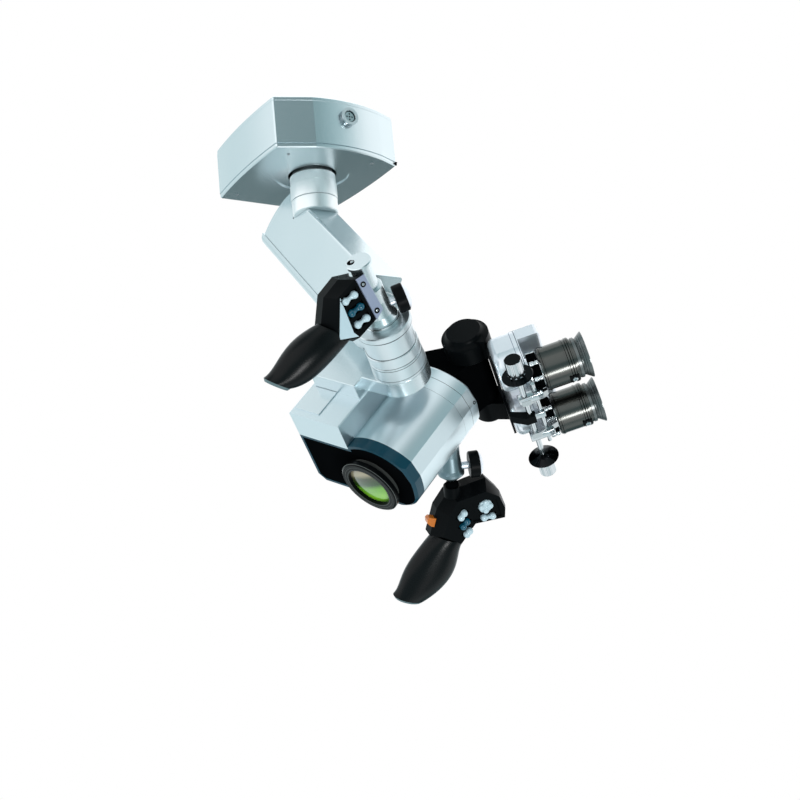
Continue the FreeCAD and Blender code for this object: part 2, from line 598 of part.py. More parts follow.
def microscope_body():
    """Carrier, body shell, head plate, trim band, cover, hatch and the optics they hold."""
    bracket = prism("carrier_bracket", "XZ_Plane", [
        ("-bracket_left", "-bracket_front"), ("-bracket_step", "-bracket_front"), ("-bracket_step",
        "-bracket_round"),
        ("0", "-bracket_round", "-bracket_round*0.98"), ("0", "bracket_round"), ("-bracket_left",
        "bracket_back")],
        "-bracket_low", "bracket_low-turn_ring_low")
    soften(bracket, "bracket_edge", all_at("turn_ring_low", "y"))
    node(bracket, "carrier_bracket", HEAD)

    shell = prism("body_shell", "XY_Plane", body_outline(), "body_low+band_height",
        "seam_one-body_low-band_height")
    sink(shell, outline(shell, "XY_Plane", body_outline("body_wall"), "body_low+band_height"),
         "seam_one-body_low-band_height-body_wall", True)
    block = outline(shell, "XY_Plane", [
        ("-body_left", "bracket_low"), ("-block_right", "bracket_low"), ("-block_right", "block_depth"),
        ("-body_left", "block_depth")], "body_low")
    grow(shell, block, "band_height+0.01")
    soften(shell, "1.2", lambda edge: upright(edge) and edge.Vertexes[0].Y < worth("bracket_low+1"))
    sink(shell, disc(shell, "XY_Plane", "lens_x", "lens_y", "zoom_radius", "seam_one"), "body_wall")
    node(shell, "body_shell", HEAD)

    top = prism("head_plate", "XY_Plane", dome_outline("0.4"), "seam_one", "body_top-seam_one")
    soften(top, "2.4", all_at("body_top"))
    sink(top, disc(top, "XY_Plane", "lens_x", "lens_y", "zoom_radius", "body_top"), "body_top-seam_one")
    node(top, "head_plate", HEAD)

    band = prism("trim_band", "XY_Plane", band_outline(), "body_low", "band_height")
    soften(band, "3", lambda edge: all_at("body_low")(edge)
           and edge.BoundBox.XMin > -worth("block_right") + 1, "PartDesign::Chamfer")
    sink(band, outline(band, "XY_Plane", band_outline("cover_inset"), "body_low"), "band_height", True)
    sink(band, disc(band, "XY_Plane", "lens_x", "lens_y", "mount_step_radius", "body_low"),
        "band_height", True)
    node(band, "trim_band", HEAD)

    cover = prism("objective_cover", "XY_Plane", band_outline("cover_inset"), "body_low+0.6", "cover_thick")
    sink(cover, disc(cover, "XY_Plane", "lens_x", "lens_y", "mount_step_radius", "body_low+0.6"),
        "cover_thick", True)
    node(cover, "objective_cover", HEAD)

    hatch = prism("side_hatch", "XZ_Plane", [
        ("-block_left-1", "hatch_front"), ("-hatch_right", "hatch_front"), ("-hatch_right", "hatch_back"),
        ("-block_left-1", "hatch_back")], "-bracket_low", "hatch_lift")
    node(hatch, "side_hatch", HEAD)

    mount = turned("objective_mount", [
        ("lens_radius", "mount_ring_low"), ("mount_ring_radius-2", "mount_ring_low"),
        ("mount_ring_radius", "mount_ring_low+1.5"), ("mount_ring_radius", "mount_step_low"),
        ("mount_step_radius", "mount_step_low"), ("mount_step_radius", "body_low+0.6+cover_thick"),
        ("guide_radius+guide_wall", "body_low+0.6+cover_thick"), ("guide_radius+guide_wall", "-34"),
        ("guide_radius", "-34"), ("guide_radius", "lens_seat+lens_thick"), ("lens_radius-1.5",
        "lens_seat+lens_thick"),
        ("lens_radius-1.5", "lens_seat+lens_thick-1"), ("lens_radius", "lens_seat+lens_thick-1")])
    node(mount, "objective_mount", LENS)

    glass = turned("objective_lens", [
        ("0", "lens_seat-lens_bow", "-0.75"), ("lens_radius-0.02", "lens_seat+0.4"),
        ("lens_radius-0.02", "lens_seat+lens_thick-1"), ("0", "lens_seat+lens_thick-1")])
    node(glass, "objective_lens", LENS)

    focus = turned("focus_lens", [
        ("0", "focus_at"), ("guide_radius-run_gap", "focus_at"),
        ("guide_radius-run_gap", "focus_at+focus_thick"), ("0", "focus_at+focus_thick")])
    node(focus, "focus_lens", LENS)


# Inclinable binocular tube
def binocular():
    """Adapter, hinge base, tilting carrier, prism housings, eyepieces and spacing spindle."""
    adapter = turned("tube_adapter", [
        ("0", "body_top+seam_gap"), ("adapter_radius-1", "body_top+seam_gap"), ("adapter_radius",
        "body_top+seam_gap+1"),
        ("adapter_radius-3", "body_top+adapter_thick"), ("0", "body_top+adapter_thick")])
    node(adapter, "tube_adapter", LENS)

    foot = "body_top+adapter_thick-hinge_z"
    web = prism("hinge_web", "XZ_Plane", [
        ("-base_left-hinge_x", foot), ("base_right-hinge_x", foot), ("lug_radius*0.9", "-4"),
        ("-lug_radius*0.5", "lug_radius*0.8"), ("-base_left-hinge_x", foot + "+base_rise")],
        "-lug_half", "2*lug_half")
    soften(web, "3", lambda edge: edge.BoundBox.ZMin > worth(foot) + 1 and edge.BoundBox.YLength < 1e-3)
    web.Placement = HINGE
    along = (0, 1, 0)
    lug = rod("hinge_lug", "lug_radius", "2*lug_half", aimed(HINGE, 0, -worth("lug_half"), 0, along))
    hole = rod("hinge_bore", "pin_radius+run_gap", "2*lug_half+2", aimed(HINGE, 0,
        -worth("lug_half") - 1, 0, along))
    node(cut("hinge_base_cut", joined("hinge_base_whole", [web, lug]), hole), "hinge_base")

    place = aimed(TUBE, 0, 0, 0, along)
    drum = turned("hinge_drum", [
        ("pin_radius", "-drum_inner"), ("drum_radius-1", "-drum_inner"), ("drum_radius", "-drum_inner-1"),
        ("drum_radius", "-drum_outer+drum_round", "-drum_round*0.29"), ("drum_radius-drum_round",
        "-drum_outer"),
        ("0", "-drum_outer"), ("0", "-pin_half"), ("pin_radius", "-pin_half")])
    drum.Placement = place
    knuckle = turned("hinge_knuckle", [
        ("pin_radius", "drum_inner"), ("knuckle_radius", "drum_inner"), ("knuckle_radius",
        "knuckle_outer-2"),
        ("knuckle_radius-2", "knuckle_outer+1"), ("0", "knuckle_outer+1"), ("0", "pin_half"),
        ("pin_radius", "pin_half")])
    knuckle.Placement = place
    plate = prism("carrier_plate", "XZ_Plane", [
        ("carrier_near", "carrier_low"), ("carrier_far", "carrier_low"), ("carrier_far", "carrier_top"),
        ("carrier_near", "carrier_top")], "-carrier_half", "2*carrier_half")
    plate.Placement = TUBE
    cheeks = []
    for low, high in (("-cheek_half", "-drum_inner"), ("drum_inner", "cheek_half")):
        cheek = prism("carrier_cheek", "XZ_Plane", [
            ("0", "-knuckle_radius*0.9"), ("carrier_near+1", "-knuckle_radius*1.4"), ("carrier_near+1",
            "carrier_top"),
            ("0", "knuckle_radius*0.5")], "-({})".format(high), "({})-({})".format(high, low))
        cheek.Placement = TUBE
        cheeks.append(cheek)
    tongue = prism("spindle_bearing", "XZ_Plane", [
        ("carrier_near", "carrier_low+2"), ("carrier_near", "spindle_line+7"), ("spindle_at-6",
        "spindle_line-6"),
        ("spindle_at+5", "spindle_line-6"), ("spindle_at+6", "spindle_line+3"), ("spindle_at-4",
        "spindle_line+5.5"),
        ("carrier_far", "spindle_line+14"), ("carrier_far", "carrier_low+2")], "-bearing_half",
        "2*bearing_half")
    tongue.Placement = TUBE
    bore = rod("pin_room", "pin_radius", "2*pin_half", aimed(TUBE, 0, -worth("pin_half"), 0, along))
    spindle_bore = rod("spindle_room", "spindle_radius+run_gap", "4*bearing_half",
                       shifted(spindle_place(), 0, 0, -2 * worth("bearing_half")))
    carrier = cut("tilt_cut", joined("tilt_whole", [drum, knuckle, plate, tongue] + cheeks),
                  joined("tilt_room", [bore, spindle_bore]))
    node(carrier, "tilt_carrier")
    pin = rod("hinge_pin", "pin_radius", "2*pin_half", aimed(TUBE, 0, -worth("pin_half"), 0, along))
    node(pin, "hinge_pin")

    for side, name in ((-1, "left"), (1, "right")):
        eye(name, side)

    spindle = turned("spacing_spindle", [
        ("0", "-knob_outer"), ("knob_radius-1", "-knob_outer"), ("knob_radius", "-knob_outer+1"),
        ("knob_radius", "-knob_inner"), ("skirt_radius-1", "-knob_inner"), ("skirt_radius", "-knob_inner+1"),
        ("skirt_radius*0.5", "-knob_inner+skirt_thick"), ("spindle_radius", "-knob_inner+skirt_thick+2"),
        ("spindle_radius", "knob_inner-skirt_thick-2"), ("skirt_radius*0.5", "knob_inner-skirt_thick"),
        ("skirt_radius", "knob_inner-1"), ("skirt_radius-1", "knob_inner"), ("knob_radius", "knob_inner"),
        ("knob_radius", "knob_outer-1"), ("knob_radius-1", "knob_outer"), ("0", "knob_outer")])
    flutes = []
    for number in range(10):
        turn = Rotation(Vector(0, 0, 1), 36 * number)
        for low in ("-knob_outer-1", "knob_inner+2"):
            spot = turn.multVec(Vector(worth("knob_radius+0.9"), 0, 0)) + Vector(0, 0, worth(low))
            flutes.append(rod("flute", "1.7", "knob_outer-knob_inner-1",
                spindle_place().multiply(Placement(spot, Rotation()))))
    spindle.Placement = spindle_place()
    node(cut("spindle_cut", spindle, joined("flute_set", flutes)), "spacing_spindle")


def spindle_place():
    """Frame on the spindle with Z along the hinge."""
    return aimed(TUBE, worth("spindle_at"), 0, worth("spindle_line"), (0, 1, 0))


def eye(name, side):
    """Prism housing, eyepiece and eyecup of one side."""
    centre = side * worth("eye_spacing") / 2
    place = shifted(TUBE, 0, centre)
    sight = aimed(place, 0, 0, worth("eye_line"), (1, 0, 0))
    box = prism(name + "_prism_box", "YZ_Plane", [
        ("-prism_half", "prism_low"), ("-prism_half", "prism_high", "prism_corner*0.29"),
        ("-prism_half+prism_corner", "prism_high+prism_corner"),
        ("prism_half-prism_corner", "prism_high+prism_corner", "prism_corner*0.29"), ("prism_half",
        "prism_high"),
        ("prism_half", "prism_low", "prism_half*0.97")], "prism_near", "prism_far-prism_near")
    soften(box, "prism_round", all_at("prism_near", "x"))
    box.Placement = place
    cap = prism(name + "_prism_cap", "YZ_Plane", [
        ("-cap_half", "cap_low"), ("cap_half", "cap_low"), ("cap_half", "cap_top-8"), ("cap_half-8",
        "cap_top-2"),
        ("-cap_half+8", "cap_top-2"), ("-cap_half", "cap_top-8")], "prism_far-6", "cap_far-prism_far+6")
    soften(cap, "5", all_at("cap_far", "x"))
    cap.Placement = place
    mount = rod(name + "_mount", "neck_ring", "tube_start-prism_far+4", shifted(sight, 0, 0,
        worth("prism_far-4")))
    nut = prism(name + "_nut", "XZ_Plane", [
        ("spindle_at-5", "spindle_line-5"), ("spindle_at+5", "spindle_line-5"), ("tube_start-1",
        "spindle_line+2"),
        ("tube_start-1", "eye_line"), ("spindle_at+8", "eye_line"), ("spindle_at-5", "spindle_line+5")],
        "-nut_thick/2", "nut_thick")
    nut.Placement = shifted(place, 0, -side * worth("eye_spacing/2-nut_half"))
    hole = rod(name + "_nut_hole", "spindle_radius+run_gap", "60",
               aimed(TUBE, worth("spindle_at"), centre - 30, worth("spindle_line"), (0, 1, 0)))
    light = rod(name + "_light_path", "eye_bore", "20", shifted(sight, 0, 0, worth("tube_start-8")))
    housing = cut(name + "_housing_cut", joined(name + "_housing_whole", [box, cap, mount, nut]),
                  joined(name + "_housing_room", [hole, light]))
    node(housing, name + "_prism_housing")

    tube = turned(name + "_eyepiece", [
        ("eye_bore", "tube_start"), ("tube_radius-1.5", "tube_start"), ("tube_radius", "tube_start+1.5"),
        ("tube_radius", "tube_step"), ("tube_step_radius", "tube_step"), ("tube_step_radius", "tube_step+2"),
        ("cup_root-2", "tube_step+2"), ("cup_root-2", "tube_end"), ("eye_bore", "tube_end")])
    node(tube, name + "_eyepiece", sight)
    ocular = turned(name + "_ocular", [
        ("0", "tube_end-10"), ("eye_bore", "tube_end-10"), ("eye_bore", "tube_end-4", "-0.5"), ("1",
        "tube_end-2"),
        ("0", "tube_end-2")])
    node(ocular, name + "_ocular", sight)
    cup = turned(name + "_eyecup", [
        ("cup_root-2+run_gap", "tube_step+2.3"), ("cup_root+1.8", "tube_step+2.3"), ("cup_root+1.8",
        "tube_end"),
        ("cup_root", "tube_end+1"), ("cup_root", "cup_end-8"), ("cup_radius", "cup_end-0.8"),
        ("cup_radius", "cup_end"),
        ("cup_radius-1.6", "cup_end"), ("cup_root-2.2", "cup_end-7"), ("cup_root-2+run_gap", "tube_end")])
    node(cup, name + "_eyecup", sight)


# Control handles
GRIPS = {
    "upper": ((43, -31, 20.5, 13), (54, -37.5, 22.5, 17.5), (68, -44.5, 24, 19.5), (92, -53.5, 22.5, 18),
              (115, -68, 15.5, 12.5)),
    "lower": ((66, 18, 20, 16), (80, 14, 22.5, 18), (92, 12.5, 25.7, 19), (106, 10.5, 28.5, 20),
              (126, 6, 28, 20), (154, -5.5, 20.5, 14)),
}


def oval(name, place, along, centre, wide, deep):
    """Ellipse across the grip's length."""
    item = doc.addObject("Part::Ellipse", name)
    item.MajorRadius = wide
    item.MinorRadius = deep
    across = Rotation(Vector(0, 1, 0), Vector(0, 0, 1), Vector(1, 0, 0), "XYZ")
    item.Placement = place.multiply(Placement(Vector(along, centre, 0), across))
    return item


def lofted(name, rings):
    """Smooth solid through closed rings."""
    item = doc.addObject("Part::Loft", name)
    item.Sections = rings
    item.Solid = True
    return item


def grip(name, place, neighbours):
    """Swelling grip fitted against the control head and closed by an end cap."""
    stations = GRIPS[name]
    rings = [oval("%s_station" % name, place, *station) for station in stations]
    node(cut(name + "_grip_cut", lofted(name + "_grip_loft", rings), neighbours), name + "_grip")
    along, centre, wide, deep = stations[-1]
    lid = [oval(name + "_lid", place, along, centre, wide, deep),
           oval(name + "_lid", place, along + worth("grip_cap"), centre, wide * 0.86, deep * 0.86)]
    node(lofted(name + "_cap_loft", lid), name + "_grip_cap")


def control_head(name, face, back, front):
    """Faceted head: straight rear part and a front part that tapers to the keypad."""
    body = prism(name, "XY_Plane", back, "head_back", "head_mid-head_back")
    taper = body.newObject("PartDesign::AdditiveLoft", name + "_taper")
    taper.Profile = outline(body, "XY_Plane", back, "head_mid")
    taper.Sections = [outline(body, "XY_Plane", front, face)]
    taper.Ruled = True
    return body


def rocker(name, place, x, y, turn, height, length="rocker_length"):
    """Two-lobed rocker key on the keypad; returns the pocket it works in."""
    spot = place.multiply(Placement(Vector(x, y, worth(height)), Rotation(Vector(0, 0, 1), turn)))
    half = "({})/2".format(length)
    key = prism(name, "XZ_Plane", [
        ("-" + half, "-rocker_sink"), (half, "-rocker_sink"), (half, "rocker_height-rocker_sink-1.5", "1.2"),
        ("1.5", "rocker_height-rocker_sink-2"), ("-1.5", "rocker_height-rocker_sink-2", "1.2"),
        ("-" + half, "rocker_height-rocker_sink-1.5")], "-rocker_width/2", "rocker_width")
    node(key, name, spot)
    room = prism(name + "_room", "XY_Plane", [
        ("-{}-0.8".format(half), "-rocker_width/2-0.4"), (half + "+0.8", "-rocker_width/2-0.4"),
        (half + "+0.8", "rocker_width/2+0.4"), ("-{}-0.8".format(half), "rocker_width/2+0.4")],
        "-rocker_sink-1.6", "12")
    room.Placement = spot
    return room


def clamp_knob(name, place, root):
    """Clamp screw with a hand wheel and a domed end; local Z runs out of the thing clamped."""
    wheel = turned(name, [
        ("0", root), ("stem_radius", root), ("stem_radius", "knob_at"), ("wing_radius-1.2", "knob_at"),
        ("wing_radius", "knob_at+1.2"), ("wing_radius", "knob_at+wing_thick-1"), ("wing_radius-1",
        "knob_at+wing_thick"),
        ("wing_radius-1.4", "knob_at+wing_thick", "-1.4"), ("2", "knob_at+wing_thick+wing_dome"),
        ("0", "knob_at+wing_thick+wing_dome")])
    node(wheel, name, place)


def upper_handle():
    """Sleeve, clamp knob, control head, keys, clamp plate and grip on the post above the joint."""
    sleeve = turned("sleeve_blank", [
        ("post_radius+run_gap", "sleeve_low"), ("sleeve_base", "sleeve_low"), ("sleeve_base",
        "sleeve_low-2.6"),
        ("sleeve_radius+1.5", "sleeve_low-9"), ("sleeve_radius", "sleeve_mid"), ("sleeve_radius",
        "sleeve_top+1"),
        ("sleeve_radius-1", "sleeve_top"), ("post_radius+run_gap", "sleeve_top")])
    sleeve.Placement = STACK
    knob_place = aimed(GRIP_SIDE, 0, worth("knob_line"), 0, (-1, 0, 0))
    screw_hole = rod("clamp_hole", "stem_radius+run_gap", "40", knob_place)
    node(cut("sleeve_cut", sleeve, screw_hole), "upper_sleeve")
    clamp_knob("upper_clamp_knob", knob_place, "post_radius+0.5")

    origin = GRIP_SIDE.multVec(Vector(0, worth("clamp_at"), worth("clamp_face")))
    place = handle_frame(origin, worth("upper_drop"), worth("upper_tilt"))
    blank = control_head("upper_head_blank", "head_face", [
        ("-24", "-24"), ("-7", "-50"), ("16", "-57"), ("52", "-44"), ("46", "-5"), ("18", "6"), ("3",
        "8")], [
        ("-23", "-34"), ("-14", "-40"), ("11", "-50"), ("51", "-29"), ("39", "-8"), ("15", "1"), ("2", "3")])
    recess = outline(blank, "XY_Plane", [("7", "-45.5"), ("-8.5", "-38"), ("16.5", "-4"), ("34", "-16")],
        "head_face")
    sink(blank, recess, "2")
    blank.Placement = place
    rooms = [rocker(key, place, x, y, -32, "head_face-2") for key, x, y in (
        ("upper_rocker_one", 5.5, -36.5), ("upper_rocker_two", 14, -24.5), ("upper_rocker_three", 22.5,
        -12.5))]
    seat = turned("sleeve_room", [
        ("0", "sleeve_low+6"), ("sleeve_base", "sleeve_low+6"), ("sleeve_base", "sleeve_low-2.6"),
        ("sleeve_radius+1.5", "sleeve_low-9"), ("sleeve_radius", "sleeve_mid"), ("sleeve_radius",
        "sleeve_top"),
        ("ear_radius+1.2", "sleeve_top"), ("ear_radius+1.2", "sleeve_top-60"), ("0", "sleeve_top-60")])
    seat.Placement = STACK
    head = cut("upper_head_cut", blank, joined("upper_head_room", rooms + [seat]))
    node(head, "upper_control_head")

    plate = prism("upper_clamp_plate", "XY_Plane", [("-22.6", "-33.8"), ("-14", "-39.6"), ("14.6",
        "0.6"), ("2", "2.4")],
                  "head_face", "plate_thick")
    soften(plate, "0.5", all_at("head_face+plate_thick"), "PartDesign::Chamfer")
    for x, y in (("-13", "-31"), ("6", "-4")):
        sink(plate, disc(plate, "XY_Plane", x, y, "2.2", "head_face+plate_thick"), "1.4")
    node(plate, "upper_clamp_plate", place)

    bezel = prism("upper_bezel", "XY_Plane", [("9", "-47.5"), ("49", "-29"), ("38", "-9.6"), ("36.4",
        "-17")],
                  "head_face", "1.2")
    soften(bezel, "0.5", all_at("head_face+1.2"), "PartDesign::Chamfer")
    bezel.Placement = place
    bezel = cut("upper_bezel_cut", bezel, rooms[0])
    node(bezel, "upper_bezel")
    grip("upper", place, joined("upper_grip_room", [head, bezel]))


def lower_handle():
    """Post under the microscope body, ball joint, clamp knob, control head, keys, trigger and grip."""
    lean = math.radians(worth("post_lean"))
    base = Vector(worth("lower_base_x"), worth("lower_base_y"), worth("lower_base_z"))
    post_frame = HEAD.multiply(Placement(base, Rotation(Vector(0, 0, 1), Vector(0, math.cos(lean),
        -math.sin(lean)))))
    post = turned("post_blank", [
        ("0", "-20"), ("cone_root", "-20"), ("cone_root", "2"), ("cone_end-2", "cone_length-12"),
        ("cone_end", "cone_length-8"), ("cone_end", "cone_length-5"), ("ball_radius+2", "cone_length"),
        ("stem_radius+run_gap", "cone_length"), ("stem_radius+run_gap", "6"), ("0", "6")])
    post.Placement = post_frame
    fill = prism("body_fill", "XY_Plane", body_outline(), "body_low", "body_top-body_low")
    fill.Placement = HEAD
    turn = math.radians(worth("lower_knob_turn"))
    upward = Vector(0, math.sin(lean), math.cos(lean))
    away = HEAD.Rotation.multVec(Vector(1, 0, 0) * math.cos(turn) + upward * math.sin(turn))
    hub = post_frame.multVec(Vector(0, 0, worth("lower_knob_line")))
    knob_place = Placement(hub, Rotation(Vector(0, 0, 1), away))
    hole = rod("post_knob_hole", "stem_radius+run_gap", "40", shifted(knob_place, 0, 0, 5))
    node(cut("post_cut", post, joined("post_room", [fill, hole])), "lower_post")
    clamp_knob("lower_clamp_knob", knob_place, "9")

    centre = post_frame.multVec(Vector(0, 0, worth("ball_at")))
    ball = doc.addObject("Part::Sphere", "ball")
    tie(ball, "Radius", "ball_radius")
    ball.Placement = Placement(centre, post_frame.Rotation)
    stem = rod("ball_stem", "stem_radius", "ball_at-10", shifted(post_frame, 0, 0, 8))
    stem_end = cut("ball_stem_cut", stem, rod("ball_stem_room", "stem_radius+run_gap", "20",
        shifted(knob_place, 0, 0, 4)))
    node(joined("ball_whole", [ball, stem_end]), "lower_ball")

    place = handle_frame(centre, worth("lower_drop"), worth("lower_tilt"))
    blank = control_head("lower_head_blank", "lower_face", [
        ("-14", "40"), ("0", "64"), ("18", "79"), ("33", "80"), ("46", "48"), ("74", "40"), ("70", "-5"),
        ("34", "-8"),
        ("12", "-2"), ("-4", "22")][::-1], [
        ("-4", "38"), ("0", "57"), ("14", "70"), ("26", "74"), ("39", "39"), ("68", "30"), ("62", "4"),
        ("34", "2"),
        ("14", "6"), ("4", "24")][::-1])
    recess = outline(blank, "XY_Plane", [("14", "25.5"), ("3.5", "54"), ("24.5", "69"), ("37",
        "35")][::-1], "lower_face")
    sink(blank, recess, "1.6")
    blank.Placement = place
    out = post_frame.Rotation.multVec(Vector(0, 0, 1))
    neck = rod("socket_neck", "ball_radius+2.4", "14", Placement(centre, Rotation(Vector(0, 0, 1), out)))
    ball_room = doc.addObject("Part::Sphere", "ball_room")
    tie(ball_room, "Radius", "ball_radius+run_gap")
    ball_room.Placement = Placement(centre, Rotation())
    rooms = [rocker("lower_rocker_one", place, 28.6, 52.5, 110, "lower_face-1.6", "19")]
    for key, x, y, angle, length in (("lower_rocker_two", 30, 18, -17, "14.5"), ("lower_rocker_three",
        41, 25, -19, "15.5"),
                                     ("lower_rocker_four", 51.5, 33, -22, "13.5")):
        rooms.append(rocker(key, place, x, y, angle, "lower_face", length))
    pad_place = shifted(place, 15.5, 44.5, worth("lower_face-1.6"))
    cross = turned("lower_pad", [
        ("0", "-rocker_sink"), ("pad_radius-0.6", "-rocker_sink"), ("pad_radius", "-rocker_sink+0.6"),
        ("pad_radius", "pad_height-rocker_sink-1"), ("pad_radius-1.4", "pad_height-rocker_sink", "0.8"),
        ("1", "pad_height-rocker_sink-0.6"), ("0", "pad_height-rocker_sink-0.6")])
    node(cross, "lower_pad", pad_place)
    rooms.append(rod("pad_room", "pad_radius+0.4", "12", shifted(pad_place, 0, 0,
        -worth("rocker_sink") - 1.6)))
    trigger = prism("lower_trigger", "XY_Plane", [
        ("46", "-3"), ("46", "-14"), ("49", "-16"), ("54", "-14"), ("57", "-8"), ("57", "-3")],
        "-trigger_width/2-4", "trigger_width")
    node(trigger, "lower_trigger", place)
    slot = prism("trigger_room", "XY_Plane", [("45.6", "0"), ("45.6", "-30"), ("57.4", "-30"), ("57.4",
        "0")],
                 "-trigger_width/2-4.4", "trigger_width+0.8")
    slot.Placement = place
    head = cut("lower_head_cut", joined("lower_head_whole", [blank, neck]),
               joined("lower_head_room", rooms + [slot, ball_room]))
    node(head, "lower_control_head")
    grip("lower", place, head)


def export():
    """Check every sub-part and write it to its own file."""
    doc.recompute()
    os.makedirs("parts", exist_ok=True)
    faults = [item.Name for item in doc.Objects if "Invalid" in item.State or "Error" in item.State]
    for name, item in NODES.items():
        if item.Shape.isNull() or not item.Shape.isValid() or not item.Shape.Solids:
            faults.append(name)
    if faults:
        raise RuntimeError("failed: " + ", ".join(faults))
    for name, item in NODES.items():
        item.Shape.exportStep(os.path.join("parts", name + ".step"))
    print(len(NODES), "parts written")


ceiling_box()
swivel()
arm()
rotary_joint()
microscope_body()
binocular()
upper_handle()
lower_handle()
export()
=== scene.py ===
"""Looks of a hanging surgical microscope head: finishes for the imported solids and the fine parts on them.

Every length below is in millimetres in a named frame of the object and turns into metres when placed.
"""

import json
import logging
import math
from dataclasses import dataclass, field, replace
from enum import Enum

import bpy
from mathutils import Matrix, Vector

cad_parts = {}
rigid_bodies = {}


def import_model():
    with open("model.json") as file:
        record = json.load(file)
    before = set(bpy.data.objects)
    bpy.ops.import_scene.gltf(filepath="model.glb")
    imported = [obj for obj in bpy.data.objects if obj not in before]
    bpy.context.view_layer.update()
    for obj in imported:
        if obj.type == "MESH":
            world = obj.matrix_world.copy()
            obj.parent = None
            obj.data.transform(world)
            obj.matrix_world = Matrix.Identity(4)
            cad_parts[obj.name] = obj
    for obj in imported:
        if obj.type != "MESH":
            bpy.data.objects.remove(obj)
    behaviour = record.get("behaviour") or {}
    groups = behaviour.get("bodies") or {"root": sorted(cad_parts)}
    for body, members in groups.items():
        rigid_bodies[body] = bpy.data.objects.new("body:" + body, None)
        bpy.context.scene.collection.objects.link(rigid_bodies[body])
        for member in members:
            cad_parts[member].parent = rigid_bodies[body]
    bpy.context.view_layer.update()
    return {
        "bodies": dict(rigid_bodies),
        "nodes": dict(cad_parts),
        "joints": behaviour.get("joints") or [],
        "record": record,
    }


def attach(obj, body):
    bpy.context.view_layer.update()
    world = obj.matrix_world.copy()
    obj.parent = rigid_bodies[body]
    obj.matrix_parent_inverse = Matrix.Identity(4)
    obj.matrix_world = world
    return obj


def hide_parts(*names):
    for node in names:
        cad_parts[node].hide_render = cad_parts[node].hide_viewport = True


LOG = logging.getLogger("microscope")
MM = 0.001


def axes_matrix(origin: Vector, along_x: Vector, along_y: Vector) -> Matrix:
    """Matrix of a right-handed frame in metres.

    Args:
        origin: the frame's origin in millimetres.
        along_x: unit vector of the frame's X.
        along_y: unit vector of the frame's Y.

    Returns:
        The 4 by 4 matrix from the frame, in metres, to the row frame.
    """
    along_z = along_x.cross(along_y)
    turn = Matrix((along_x, along_y, along_z)).transposed().to_4x4()
    return Matrix.Translation(origin * MM) @ turn


@dataclass(frozen=True)
class Layout:
    """Angles and reaches that place the frames of the object, as in the part's own sheet."""

    arm_slope: float = 45.0
    joint_reach: float = 299.0
    joint_drop: float = 118.9
    stack_roll: float = 38.9
    head_turn: float = 62.2
    handle_turn: float = 192.6

    def down_arm(self) -> Vector:
        """Unit vector down the arm."""
        angle = math.radians(self.arm_slope)
        return Vector((0, -math.cos(angle), -math.sin(angle)))

    def off_arm(self) -> Vector:
        """Unit vector out of the arm's underside."""
        angle = math.radians(self.arm_slope)
        return Vector((0, math.sin(angle), -math.cos(angle)))

    def stack_axis(self) -> Vector:
        """Unit vector down the stack of rings."""
        angle = math.radians(self.stack_roll)
        return self.off_arm() * math.cos(angle) + Vector((1, 0, 0)) * math.sin(angle)

    def joint(self) -> Vector:
        """Crossing of the roll axis and the stack axis."""
        return self.down_arm() * self.joint_reach + self.off_arm() * self.joint_drop

    def about_stack(self, degrees: float) -> Matrix:
        """Frame at the joint with Y down the stack, turned from the arm by an angle.

        Args:
            degrees: angle from the arm, about the stack.

        Returns:
            The frame.
        """
        angle = math.radians(degrees)
        up_arm = -self.down_arm()
        toward = up_arm * math.cos(angle) + self.stack_axis().cross(up_arm) * math.sin(angle)
        return axes_matrix(self.joint(), self.stack_axis().cross(toward), self.stack_axis())

    def head(self) -> Matrix:
        """Frame of the microscope body."""
        return self.about_stack(self.head_turn)

    def lens(self) -> Matrix:
        """Frame on the optical axis."""
        return shifted(self.head(), -9, 147, 0)

    def tube(self) -> Matrix:
        """Frame of the binocular tube: X along the sight, Y along the hinge."""
        return shifted(self.head(), 14.8, 147, 95.5) @ Matrix.Rotation(math.radians(-45), 4, "Y")

    def grip_side(self) -> Matrix:
        """Frame that looks out of the upper handle."""
        return self.about_stack(self.handle_turn)

    def handle(self, origin: Vector, drop: float, tilt: float) -> Matrix:
        """Frame of a handle: X towards the grip's end, Z out of the keypad.

        Args:
            origin: where the frame starts, in metres.
            drop: turn of the grip in the keypad's plane, in degrees.
            tilt: lean of the keypad, in degrees.

        Returns:
            The handle's frame.
        """
        turn = self.grip_side().to_3x3().to_4x4()
        lean = Matrix.Rotation(math.radians(drop), 4, "Z") @ Matrix.Rotation(math.radians(-tilt), 4, "Y")
        return Matrix.Translation(origin) @ turn @ lean

    def upper_handle(self) -> Matrix:
        """Frame of the upper handle's keypad."""
        return self.handle(self.grip_side() @ Vector((0, -56 * MM, 16 * MM)), 38.4, 24.0)

    def post(self) -> Matrix:
        """Frame of the lower post: Z out of the body.

        Returns:
            The post's frame.
        """
        lean = math.radians(20)
        way = Vector((0, math.cos(lean), -math.sin(lean)))
        return shifted(self.head(), 28, 180, -4) @ Vector((0, 0, 1)).rotation_difference(way).to_matrix().to_4x4()

    def lower_handle(self) -> Matrix:
        """Frame of the lower handle's keypad."""
        return self.handle(self.post() @ Vector((0, 0, 42 * MM)), 51.2, 13.0)


def shifted(frame: Matrix, x: float = 0, y: float = 0, z: float = 0) -> Matrix:
    """Frame moved along its own axes by millimetres."""
    return frame @ Matrix.Translation(Vector((x, y, z)) * MM)


def aimed(frame: Matrix, spot: tuple, way: tuple) -> Matrix:
    """Frame at a local spot, in millimetres, with its Z along a local direction."""
    turn = Vector((0, 0, 1)).rotation_difference(Vector(way)).to_matrix().to_4x4()
    return shifted(frame, *spot) @ turn


LAYOUT = Layout()


